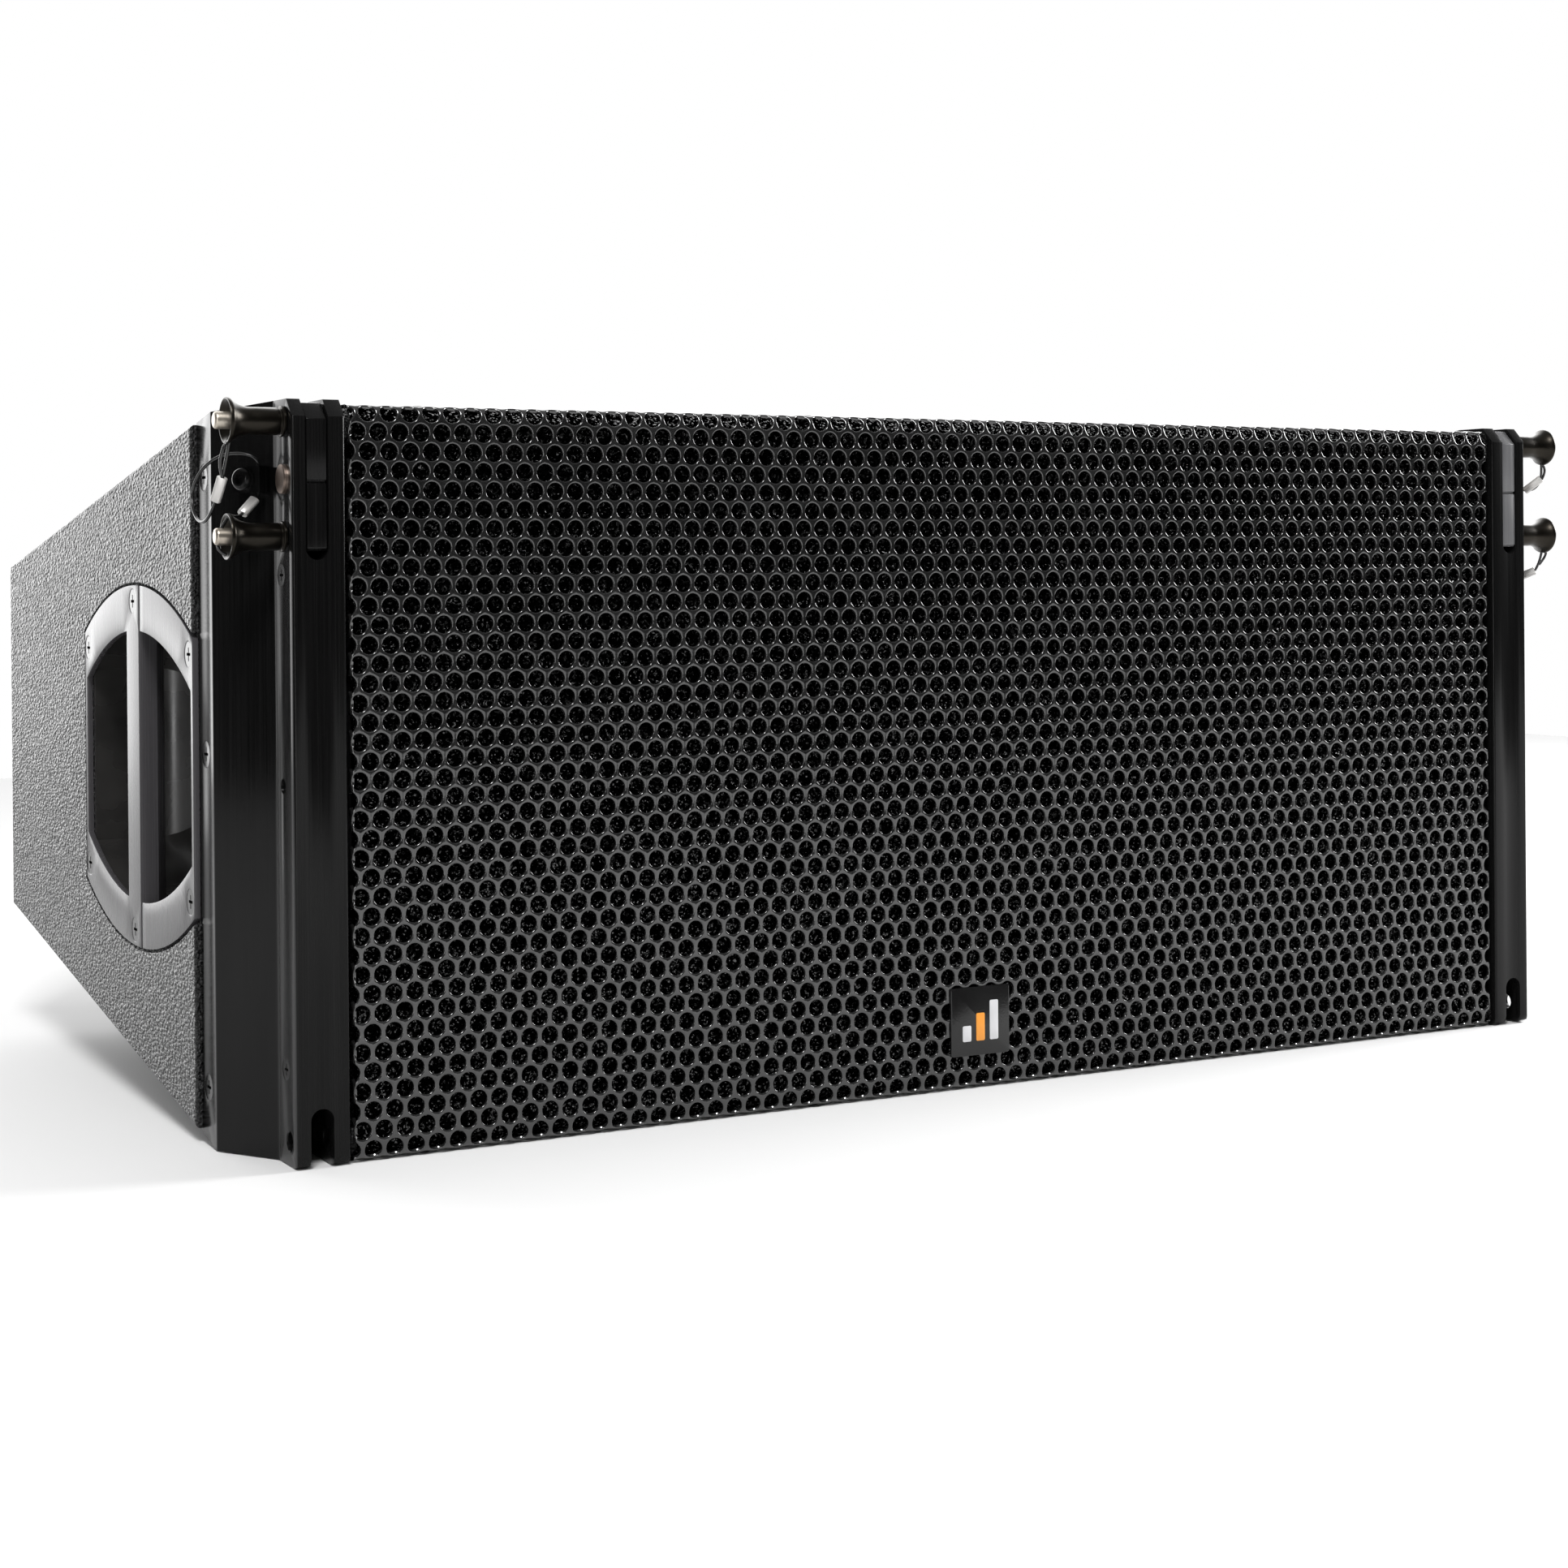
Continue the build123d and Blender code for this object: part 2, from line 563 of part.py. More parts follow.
def make_handle_screws():
    with BuildPart() as screws:
        for side in SIDES.values():
            for along, up in HANDLE_SCREWS:
                flush_screw(side, HALF_WIDTH, HANDLE_MIDDLE + along, HANDLE_HEIGHT + up, 6.0, 15.0)
    save(screws, "handle_screws")


# ---- grille ----
GRILLE_HALF = 334.5
GRILLE_FRONT = 1.5
GRILLE_SHEET = 1.5
GRILLE_BEND = 6.0
GRILLE_RETURN = 14.0
GRILLE_SCREW_X = (-300.0, -100.0, 100.0, 300.0)


def make_grille():
    """Bent sheet: a flat front with a return at the top and bottom."""
    top = MID + HALF_FRONT
    bottom = MID - HALF_FRONT
    front = FRONT + GRILLE_FRONT
    back = FRONT + GRILLE_RETURN
    corners = [(back, bottom), (front, bottom), (front, top), (back, top)]
    sunk = (Align.CENTER, Align.CENTER, Align.MAX)
    with BuildPart() as grille:
        with BuildSketch(Plane.YZ.offset(-GRILLE_HALF)):
            with BuildLine():
                bend = FilletPolyline(*corners, radius=GRILLE_BEND)
                inner = FilletPolyline(
                    (back, bottom + GRILLE_SHEET), (front + GRILLE_SHEET, bottom + GRILLE_SHEET),
                    (front + GRILLE_SHEET, top - GRILLE_SHEET), (back, top - GRILLE_SHEET),
                    radius=GRILLE_BEND - GRILLE_SHEET,
                )
                Line(bend @ 0, inner @ 0)
                Line(bend @ 1, inner @ 1)
            make_face()
        extrude(amount=2 * GRILLE_HALF)
        for up in (1, -1):
            seat = Plane(origin=(0, FRONT + 9.5, MID + up * HALF_FRONT), x_dir=(1, 0, 0), z_dir=(0, 0, up))
            for x in GRILLE_SCREW_X:
                with Locations(seat):
                    with Locations((x, 0, 0)):
                        Cone(1.75, 3.4, 1.65, align=sunk, mode=Mode.SUBTRACT)
    save(grille, "grille")


def make_grille_screws():
    with BuildPart() as screws:
        for up in (1, -1):
            seat = Plane(origin=(0, FRONT + 9.5, MID + up * (HALF_FRONT - 0.1)), x_dir=(1, 0, 0), z_dir=(0, 0, up))
            for x in GRILLE_SCREW_X:
                with Locations(seat):
                    with Locations((x, 0, 0)):
                        Cone(1.6, 3.2, 1.6, align=(Align.CENTER, Align.CENTER, Align.MAX))
                    with Locations((x, 0, -1.6)):
                        Cylinder(1.6, 10.0, align=(Align.CENTER, Align.CENTER, Align.MAX))
    save(screws, "grille_screws")


def make_grille_foam():
    with BuildPart() as foam:
        with Locations([(0, FRONT + 7.9, MID)]):
            Box(663.0, 8.0, 2 * (HALF_FRONT - PLY_SLOPED) - 1.0)
    save(foam, "grille_foam")


def make_badge_plate():
    """Small blank plate clipped to the grille, with three raised bars as a plain mark."""
    with BuildPart() as badge:
        with BuildSketch(front_plane(1.45)):
            with Locations([(-7.8, 34.0)]):
                RectangleRounded(34.5, 34.5, 1.2)
        extrude(amount=1.1)
        with BuildSketch(front_plane(0.35)):
            for step, rise in ((-8.0, 8.0), (0, 14.0), (8.0, 20.0)):
                with Locations([(-7.8 + step, 24.0 + rise / 2)]):
                    Rectangle(5.0, rise)
        extrude(amount=0.3)
    save(badge, "badge_plate")


# ---- woofers ----
def dust_cap(radius, curve):
    """Depth of the dust cap's spherical surface of radius "curve" at a distance from its axis."""
    return 139.9 - math.sqrt(curve**2 - radius**2)


def make_woofer(side_name, side):
    x = side * WOOFER_X
    with BuildPart() as basket:
        turned(x, MID, [(115.0, 46.0), (WOOFER_RIM, 46.0), (WOOFER_RIM, 50.1), (116.0, 50.1), (75.0, 120.0),
                        (75.0, 125.0), (30.0, 125.0), (30.0, 122.0), (71.0, 122.0), (71.0, 119.0), (112.0, 50.0)])
        with BuildSketch(front_plane(54.0)):
            with Locations([(x, MID)]):
                with PolarLocations(92.0, 6):
                    SlotArc(CenterArc((-92.0, 0), 92.0, -19.0, 38.0), 26.0)
        extrude(amount=-62.0, mode=Mode.SUBTRACT)
        with BuildSketch(front_plane(44.0)):
            with Locations([(x, MID)]):
                with PolarLocations(WOOFER_SCREW_CIRCLE, 8, start_angle=22.5):
                    Circle(SCREW_BORE)
        extrude(amount=-10.0, mode=Mode.SUBTRACT)
    save(basket, f"woofer_basket_{side_name}")

    with BuildPart() as magnet:
        turned(x, MID, [(0, 125.1), (24.0, 125.1), (24.0, 160.0), (28.0, 160.0), (28.0, 133.0), (28.0, 125.1),
                        (66.0, 125.1), (66.0, 133.0), (72.0, 133.0), (72.0, 158.0), (66.0, 158.0), (66.0, 168.0),
                        (0, 168.0)])
    save(magnet, f"woofer_magnet_{side_name}")

    with BuildPart() as surround:
        base = Plane(origin=(x, FRONT, MID), x_dir=(1, 0, 0), z_dir=(0, 0, 1))
        with BuildSketch(base):
            with BuildLine():
                Polyline((118.0, 45.9), (118.0, 44.0), (114.5, 44.0))
                ThreePointArc((114.5, 44.0), (108.0, 37.5), (101.5, 44.0))
                Polyline((101.5, 44.0), (100.2, 44.0), (100.2, 45.2), (102.6, 45.2))
                ThreePointArc((102.6, 45.2), (108.0, 39.4), (113.4, 45.2))
                Polyline((113.4, 45.2), (115.2, 45.2), (115.2, 45.9), (118.0, 45.9))
            make_face()
        revolve(axis=Axis((x, FRONT, MID), (0, 1, 0)))
    save(surround, f"woofer_surround_{side_name}")

    with BuildPart() as cone:
        base = Plane(origin=(x, FRONT, MID), x_dir=(1, 0, 0), z_dir=(0, 0, 1))
        with BuildSketch(base):
            with BuildLine():
                ThreePointArc((0, dust_cap(0, 60.0)), (20.0, dust_cap(20.0, 60.0)), (38.0, dust_cap(38.0, 60.0)))
                Polyline((38.0, dust_cap(38.0, 60.0)), (99.6, 46.0), (99.6, 48.2), (27.0, 104.0), (27.0, 140.0),
                         (25.6, 140.0), (25.6, 102.0), (36.0, dust_cap(36.0, 58.6)))
                ThreePointArc((36.0, dust_cap(36.0, 58.6)), (20.0, dust_cap(20.0, 58.6)), (0, dust_cap(0, 58.6)))
                Line((0, dust_cap(0, 58.6)), (0, dust_cap(0, 60.0)))
            make_face()
        revolve(axis=Axis((x, FRONT, MID), (0, 1, 0)))
    save(cone, f"woofer_cone_{side_name}")


def make_baffle_screws():
    with BuildPart() as screws:
        for radius, amount in ((4.6, 2.5), (SCREW_SHANK, -18.0)):
            with BuildSketch(front_plane(45.9)):
                for side in SIDES.values():
                    with Locations([(side * WOOFER_X, MID)]):
                        with PolarLocations(WOOFER_SCREW_CIRCLE, 8, start_angle=22.5):
                            Circle(radius)
                with Locations([(x, MID + z) for x, z in HORN_SCREWS]):
                    Circle(radius)
            extrude(amount=amount)
    save(screws, "baffle_screws")


# ---- horn ----
def horn_section(depth, width, height):
    with BuildSketch(front_plane(depth)) as section:
        with Locations([(0, MID)]):
            Rectangle(width, height)
    return section.sketch


def make_horn_waveguide():
    with BuildPart() as horn:
        loft([horn_section(50.0, 116.0, 270.0), horn_section(150.0, 46.0, 250.0)], ruled=True)
        loft([horn_section(149.9, 46.0, 250.0), horn_section(250.0, 70.0, 70.0)], ruled=True)
        extrude(horn_section(46.0, *HORN_FLANGE), amount=-4.1)
        flare = [horn_section(45.9, 108.0, 262.0), horn_section(150.0, 26.0, 240.0)]
        loft(flare, ruled=True, mode=Mode.SUBTRACT)
        throat = [horn_section(149.8, 26.0, 240.0), horn_section(250.1, 36.0, 36.0)]
        loft(throat, ruled=True, mode=Mode.SUBTRACT)
        with BuildSketch(front_plane(44.0)):
            with Locations([(x, MID + z) for x, z in HORN_SCREWS]):
                Circle(SCREW_BORE)
        extrude(amount=-8.0, mode=Mode.SUBTRACT)
    save(horn, "horn_waveguide")


def make_compression_driver():
    with BuildPart() as driver:
        turned(0, MID, [(18.0, 250.1), (58.0, 250.1), (60.0, 252.0), (60.0, 262.0), (52.0, 264.0), (52.0, 290.0),
                        (60.0, 292.0), (60.0, 312.0), (30.0, 318.0), (0, 318.0), (0, 262.0), (18.0, 262.0)])
        with BuildSketch(front_plane(249.0)):
            with Locations([(0, MID)]):
                with PolarLocations(DRIVER_BOLT_CIRCLE, 4):
                    Circle(3.1)
        extrude(amount=-13.0, mode=Mode.SUBTRACT)
    save(driver, "compression_driver")


def make_driver_flange():
    """Plate on the horn's throat that the driver bolts to."""
    with BuildPart() as flange:
        with BuildSketch(front_plane(245.0)):
            with Locations([(0, MID)]):
                Circle(58.0)
                Rectangle(72.0, 84.0, mode=Mode.SUBTRACT)
                with PolarLocations(DRIVER_BOLT_CIRCLE, 4):
                    Circle(3.1, mode=Mode.SUBTRACT)
        extrude(amount=-5.0)
    save(flange, "driver_flange")


def make_driver_bolts():
    with BuildPart() as bolts:
        for radius, amount in ((4.6, 2.8), (3.0, -16.0)):
            with BuildSketch(front_plane(244.9)):
                with Locations([(0, MID)]):
                    with PolarLocations(DRIVER_BOLT_CIRCLE, 4):
                        Circle(radius)
            extrude(amount=amount)
    save(bolts, "driver_bolts")


# ---- crossover ----
BOARD_DEPTH = 446.0


def make_crossover_board():
    with BuildPart() as board:
        with BuildSketch(front_plane(BOARD_DEPTH)):
            with Locations([(0, MID - 2.0)]):
                Rectangle(150.0, 120.0)
        extrude(amount=-2.0)
        with BuildSketch(front_plane(BOARD_DEPTH + 2.0)):
            with Locations([(0, MID - 2.0)]):
                with GridLocations(136.0, 106.0, 2, 2):
                    Circle(4.0)
        extrude(amount=-(CABINET_DEPTH - PLY - BOARD_DEPTH - 2.0))
    save(board, "crossover_board")


def make_crossover_parts():
    """Coils and capacitors standing on the board, each a separate solid."""
    coils = ((-52.0, 30.0, 22.0, 8.0, 22.0), (0.0, 30.0, 18.0, 7.0, 20.0), (50.0, 28.0, 20.0, 8.0, 22.0))
    with BuildPart() as parts:
        for x, z, radius, core, tall in coils:
            with BuildSketch(front_plane(BOARD_DEPTH)):
                with Locations([(x, MID + z)]):
                    Circle(radius)
                    Circle(core, mode=Mode.SUBTRACT)
            extrude(amount=tall)
        for x in (-58.0, -34.0, -10.0, 14.0):
            with BuildSketch(front_plane(BOARD_DEPTH)):
                with Locations([(x, MID - 32.0)]):
                    Circle(9.0)
            extrude(amount=30.0)
        with BuildSketch(front_plane(BOARD_DEPTH)):
            with Locations([(50.0, MID - 20.0), (50.0, MID - 40.0)]):
                Rectangle(40.0, 9.0)
        extrude(amount=9.0)
    save(parts, "crossover_parts")


# ---- rear connector plate ----
INPUT_X = -185.0
INPUT_Z = 169.0
INPUT_WIDTH = 132.0
INPUT_HEIGHT = 78.0
INPUT_SCREWS = [(x, z) for x in (-60.0, 60.0) for z in (-33.0, 33.0)]
SOCKET_X = (-28.0, 28.0)


def make_input_plate():
    with BuildPart() as plate:
        with BuildSketch(front_plane(CABINET_DEPTH + 0.1)):
            with Locations([(INPUT_X, INPUT_Z)]):
                RectangleRounded(INPUT_WIDTH, INPUT_HEIGHT, 4.0)
            with Locations([(INPUT_X + x, INPUT_Z) for x in SOCKET_X]):
                Circle(14.2, mode=Mode.SUBTRACT)
            with Locations([(INPUT_X + x, INPUT_Z + z) for x, z in INPUT_SCREWS]):
                Circle(1.7, mode=Mode.SUBTRACT)
        extrude(amount=-2.4)
    save(plate, "input_plate")


def make_input_sockets():
    """Two round twist-lock sockets: flange, barrel, keyed recess."""
    with BuildPart() as sockets:
        for x in SOCKET_X:
            place = front_plane(CABINET_DEPTH + 2.5)
            with BuildSketch(place):
                with Locations([(INPUT_X + x, INPUT_Z)]):
                    RectangleRounded(31.0, 36.0, 5.0)
            extrude(amount=-2.4)
            with BuildSketch(place):
                with Locations([(INPUT_X + x, INPUT_Z)]):
                    Circle(13.9)
            extrude(amount=28.0)
            with BuildSketch(front_plane(CABINET_DEPTH + 6.0)):
                with Locations([(INPUT_X + x, INPUT_Z)]):
                    Circle(11.5)
                with Locations([(INPUT_X + x, INPUT_Z + 11.5), (INPUT_X + x, INPUT_Z - 11.5)]):
                    Rectangle(5.0, 3.0)
            extrude(amount=20.0, mode=Mode.SUBTRACT)
    save(sockets, "input_sockets")


def make_input_screws():
    with BuildPart() as screws:
        places = [(INPUT_X + x, INPUT_Z + z) for x, z in INPUT_SCREWS]
        with BuildSketch(front_plane(CABINET_DEPTH + 2.6)):
            with Locations(places):
                Circle(3.4)
        extrude(amount=-1.8)
        with BuildSketch(front_plane(CABINET_DEPTH + 2.6)):
            with Locations(places):
                Circle(1.6)
        extrude(amount=14.0)
    save(screws, "input_screws")


# ---- rear splay rigging ----
BRACKET_LOW = 76.0
BRACKET_HIGH = 262.0
BRACKET_SCREWS = [(x, z) for x in (-21.0, 21.0) for z in (90.0, 169.0, 248.0)]
EAR_INNER = 5.6
EAR_THICK = 5.0
REAR_DEPTH = 488.0           # depth of the rear pin axis
REAR_PIN = 96.0
REAR_BOLT = 232.0
REAR_LIFT = 100.0


def make_rear_bracket():
    with BuildPart() as bracket:
        with BuildSketch(front_plane(CABINET_DEPTH + 0.1)):
            with Locations([(0, (BRACKET_LOW + BRACKET_HIGH) / 2)]):
                RectangleRounded(58.0, BRACKET_HIGH - BRACKET_LOW, 5.0)
            with Locations(BRACKET_SCREWS):
                Circle(3.2, mode=Mode.SUBTRACT)
        extrude(amount=-4.0)
        for side in SIDES.values():
            with BuildSketch(Plane.YZ.offset(side * EAR_INNER)):
                side_outline([(CABINET_DEPTH + 3.0, BRACKET_LOW), (TOTAL_DEPTH - 6.0, BRACKET_LOW),
                              (TOTAL_DEPTH, BRACKET_LOW + 8.0), (TOTAL_DEPTH, BRACKET_HIGH - 8.0),
                              (TOTAL_DEPTH - 6.0, BRACKET_HIGH), (CABINET_DEPTH + 3.0, BRACKET_HIGH)])
                with Locations([(FRONT + REAR_DEPTH, REAR_PIN)]):
                    Circle(PIN_BORE, mode=Mode.SUBTRACT)
                with Locations([(FRONT + REAR_DEPTH, REAR_BOLT)]):
                    Circle(3.98, mode=Mode.SUBTRACT)
            extrude(amount=side * EAR_THICK)
        with Locations([(0, FRONT + CABINET_DEPTH + 12.0, 113.0)]):
            Box(2 * EAR_INNER + 1.0, 20.0, 6.0)
    save(bracket, "rear_bracket")


def make_rear_bracket_screws():
    with BuildPart() as screws:
        with BuildSketch(front_plane(CABINET_DEPTH + 4.2)):
            with Locations(BRACKET_SCREWS):
                Circle(5.2)
        extrude(amount=-3.2)
        with BuildSketch(front_plane(CABINET_DEPTH + 4.2)):
            with Locations(BRACKET_SCREWS):
                Circle(3.0)
        extrude(amount=18.0)
        with BuildSketch(front_plane(CABINET_DEPTH + 7.4)):
            with Locations(BRACKET_SCREWS):
                RegularPolygon(2.4, 6)
        extrude(amount=2.2, mode=Mode.SUBTRACT)
    save(screws, "rear_bracket_screws")


def make_rear_link():
    """Splay link: a bar with a long guide slot and a bore at its top."""
    low = 116.4
    high = 262.0
    with BuildPart() as link:
        with BuildSketch(Plane.YZ.offset(-5.2)):
            side_outline([
                (478.0, low), (497.0, low), (497.0, high - 5.0), (492.0, high), (483.0, high), (478.0, high - 5.0),
            ])
            with Locations([(FRONT + REAR_DEPTH, 250.5)]):
                Circle(FREE_BORE, mode=Mode.SUBTRACT)
            with Locations([(FRONT + REAR_DEPTH, (REAR_BOLT + REAR_BOLT - REAR_LIFT - 1.0) / 2)]):
                SlotCenterToCenter(REAR_LIFT + 1.0, 8.6, rotation=90, mode=Mode.SUBTRACT)
        extrude(amount=10.4)
    save(link, "rear_link")


def make_rear_link_bolt():
    with BuildPart() as bolt:
        edge = EAR_INNER + EAR_THICK
        with BuildSketch(sideways(-edge, REAR_DEPTH, REAR_BOLT, -1)):
            outline([(-2 * edge - 7.0, 0), (-2 * edge - 7.0, 6.4), (-2 * edge - 0.1, 6.4), (-2 * edge - 0.1, 3.9),
                     (0.1, 3.9), (0.1, 6.4), (5.0, 6.4), (5.0, 0)])
        revolve(axis=Axis((0, FRONT + REAR_DEPTH, REAR_BOLT), (1, 0, 0)))
    save(bolt, "rear_link_bolt")


# ---- build everything ----
for side_name, side in SIDES.items():
    make_side_panel(f"side_panel_{side_name}", side)
    make_front_frame(f"front_frame_{side_name}", side)
    make_link_bar(f"link_bar_{side_name}", side)
    make_handle_plate(f"handle_plate_{side_name}", side)
    make_handle_cup(f"handle_cup_{side_name}", side)
    make_woofer(side_name, side)
    for place, height in (("upper", UPPER_PIN), ("lower", LOWER_PIN)):
        make_pin(f"pin_{place}_{side_name}", COLUMN_OUT, PIN_DEPTH, height, side, 28.0)
        make_pin_button(f"button_{place}_{side_name}", COLUMN_OUT, PIN_DEPTH, height, side)

make_top_or_bottom("top_panel", 1)
make_top_or_bottom("bottom_panel", -1)
make_rear_panel()
make_front_baffle()
make_internal_braces()
make_frame_screws()
make_guide_pins()
make_lanyard_lugs()
make_lug_screws()
make_handle_screws()
make_grille()
make_grille_screws()
make_grille_foam()
make_badge_plate()
make_baffle_screws()
make_horn_waveguide()
make_compression_driver()
make_driver_flange()
make_driver_bolts()
make_crossover_board()
make_crossover_parts()
make_input_plate()
make_input_sockets()
make_input_screws()
make_rear_bracket()
make_rear_bracket_screws()
make_rear_link()
make_rear_link_bolt()
make_pin("pin_rear", EAR_INNER + EAR_THICK, REAR_DEPTH, REAR_PIN, -1, 25.0)
make_pin_button("button_rear", EAR_INNER + EAR_THICK, REAR_DEPTH, REAR_PIN, -1)
for lanyard_name, route in LANYARD_ROUTES.items():
    make_lanyard(lanyard_name, route)
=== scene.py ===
"""Looks of a line array loudspeaker element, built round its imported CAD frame.

The row frame in metres: X to the right along the width, Y from the grille to the back, Z up.
Lengths below are in millimetres and are turned into metres by MM.
"""
import json
import math
import random

import bmesh
import bpy
from mathutils import Matrix, Vector


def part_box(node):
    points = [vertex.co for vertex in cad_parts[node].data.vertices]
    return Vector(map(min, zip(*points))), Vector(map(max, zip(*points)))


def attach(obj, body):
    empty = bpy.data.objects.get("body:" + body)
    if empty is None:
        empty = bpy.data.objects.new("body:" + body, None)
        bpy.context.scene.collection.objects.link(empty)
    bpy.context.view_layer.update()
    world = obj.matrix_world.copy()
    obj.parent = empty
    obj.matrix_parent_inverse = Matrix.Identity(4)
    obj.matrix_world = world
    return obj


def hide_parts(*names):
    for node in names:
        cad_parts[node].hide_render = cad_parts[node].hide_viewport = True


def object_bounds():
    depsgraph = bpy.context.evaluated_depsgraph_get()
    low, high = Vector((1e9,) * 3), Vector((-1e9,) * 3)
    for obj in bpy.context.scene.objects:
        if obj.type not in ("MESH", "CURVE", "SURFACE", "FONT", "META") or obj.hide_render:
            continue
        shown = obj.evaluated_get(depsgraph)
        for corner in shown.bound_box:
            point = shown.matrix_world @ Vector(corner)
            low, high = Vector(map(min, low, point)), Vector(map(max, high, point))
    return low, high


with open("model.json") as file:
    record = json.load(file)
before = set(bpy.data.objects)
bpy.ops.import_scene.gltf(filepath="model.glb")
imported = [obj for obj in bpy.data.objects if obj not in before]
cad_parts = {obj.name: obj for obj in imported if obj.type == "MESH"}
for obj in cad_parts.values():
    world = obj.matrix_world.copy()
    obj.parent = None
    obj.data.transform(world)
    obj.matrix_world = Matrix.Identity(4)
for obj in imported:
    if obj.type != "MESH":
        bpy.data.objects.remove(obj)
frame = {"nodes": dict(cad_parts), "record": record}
cad_low, cad_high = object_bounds()
nodes = frame["nodes"]
node_body = {n: body for body, members in frame["record"]["behaviour"]["bodies"].items() for n in members}
node_slot = {entry["node"]: entry["material_slot"] for entry in frame["record"]["subparts"]}
scene = bpy.context.scene

MM = 0.001
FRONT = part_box("front_frame_left")[0].y      # front plane of the columns
MID = 169.0                                  # height of the cabinet's middle plane
SIDES = {"left": -1, "right": 1}


def at(x, depth, z):
    """Point from millimetres: across, behind the columns' front plane, and up."""
    return Vector((x * MM, FRONT + depth * MM, z * MM))


def new_object(name, mesh):
    made = bpy.data.objects.new(name, mesh)
    scene.collection.objects.link(made)
    return made


def shade(mesh, angle):
    """Smooth shading, with edges sharper than this many degrees left sharp."""
    mesh.shade_smooth()
    mesh.set_sharp_from_angle(angle=math.radians(angle))


def built(name, work, sharp_from=None):
    """New object from a bmesh, with its faces turned outwards; without an angle it stays flat shaded."""
    bmesh.ops.recalc_face_normals(work, faces=work.faces)
    mesh = bpy.data.meshes.new(name)
    work.to_mesh(mesh)
    work.free()
    if sharp_from:
        shade(mesh, sharp_from)
    return new_object(name, mesh)


def strip_between(work, one, two):
    """Quads between two closed rings of the same number of vertices."""
    count = len(one)
    for k in range(count):
        n = (k + 1) % count
        work.faces.new((one[k], one[n], two[n], two[k]))


# ---- camera ----
YAW, PITCH, ROLL = -29.95, -0.22, -0.46      # degrees


def make_camera():
    camera = bpy.data.objects.new("camera", bpy.data.cameras.new("camera"))
    scene.collection.objects.link(camera)
    camera.data.lens = 61.87
    camera.data.sensor_width = 36.0
    camera.data.shift_x = -0.0694
    camera.data.shift_y = -0.1308
    turn = Matrix.Rotation(math.radians(YAW), 4, "Z")
    turn = turn @ Matrix.Rotation(math.radians(90.0 + PITCH), 4, "X")
    turn = turn @ Matrix.Rotation(math.radians(ROLL), 4, "Z")
    camera.matrix_world = Matrix.Translation((-0.7237, -1.4071, 0.2627)) @ turn
    scene.camera = camera


make_camera()


# ---- node helpers ----
def new_material(name, colour=(0.5, 0.5, 0.5), rough=0.5, metallic=0.0, **sockets):
    """Material with one Principled shader; sockets are set on the shader itself."""
    made = bpy.data.materials.new(name)
    made.use_nodes = True
    tree = made.node_tree
    tree.nodes.clear()
    output = tree.nodes.new("ShaderNodeOutputMaterial")
    shader = tree.nodes.new("ShaderNodeBsdfPrincipled")
    shader.name = "shader"
    shader.inputs["Base Color"].default_value = (*colour, 1)
    shader.inputs["Roughness"].default_value = rough
    shader.inputs["Metallic"].default_value = metallic
    for socket, value in sockets.items():
        shader.inputs[socket.replace("_", " ")].default_value = value
    tree.links.new(shader.outputs[0], output.inputs[0])
    return made


def place_coords(tree, stretch=(1, 1, 1)):
    coords = tree.nodes.new("ShaderNodeTexCoord")
    mapping = tree.nodes.new("ShaderNodeMapping")
    mapping.inputs["Scale"].default_value = stretch
    tree.links.new(coords.outputs["Object"], mapping.inputs["Vector"])
    return mapping.outputs[0]


def noise(tree, scale, detail=2.0, stretch=(1, 1, 1)):
    """Noise with this many features to the metre."""
    texture = tree.nodes.new("ShaderNodeTexNoise")
    texture.inputs["Scale"].default_value = scale
    texture.inputs["Detail"].default_value = detail
    tree.links.new(place_coords(tree, stretch), texture.inputs["Vector"])
    return texture.outputs["Fac"]


def cells(tree, scale, stretch=(1, 1, 1)):
    """Distance to the nearest of this many random points to the metre."""
    texture = tree.nodes.new("ShaderNodeTexVoronoi")
    texture.inputs["Scale"].default_value = scale
    tree.links.new(place_coords(tree, stretch), texture.inputs["Vector"])
    return texture.outputs["Distance"]


def remap(tree, value, low, high, out_low, out_high):
    node = tree.nodes.new("ShaderNodeMapRange")
    for socket, number in zip(("From Min", "From Max", "To Min", "To Max"), (low, high, out_low, out_high)):
        node.inputs[socket].default_value = number
    tree.links.new(value, node.inputs["Value"])
    return node.outputs["Result"]


def calculate(tree, operation, first, second):
    node = tree.nodes.new("ShaderNodeMath")
    node.operation = operation
    for socket, value in zip(node.inputs, (first, second)):
        if isinstance(value, (int, float)):
            socket.default_value = value
        else:
            tree.links.new(value, socket)
    return node.outputs[0]


def mixed(tree, first, first_share, second, second_share):
    """Sum of two values, each times its share."""
    first_part = calculate(tree, "MULTIPLY", first, first_share)
    second_part = calculate(tree, "MULTIPLY", second, second_share)
    return calculate(tree, "ADD", first_part, second_part)


def tint(material, value, dark, light):
    """Base colour from dark to light as value goes from 0 to 1."""
    tree = material.node_tree
    node = tree.nodes.new("ShaderNodeMix")
    node.data_type = "RGBA"
    colours = [socket for socket in node.inputs if socket.type == "RGBA"]
    colours[0].default_value = (*dark, 1)
    colours[1].default_value = (*light, 1)
    tree.links.new(value, node.inputs["Factor"])
    result = [socket for socket in node.outputs if socket.type == "RGBA"][0]
    tree.links.new(result, tree.nodes["shader"].inputs["Base Color"])


def roughen(material, value, low, high):
    tree = material.node_tree
    tree.links.new(remap(tree, value, 0.3, 0.7, low, high), tree.nodes["shader"].inputs["Roughness"])


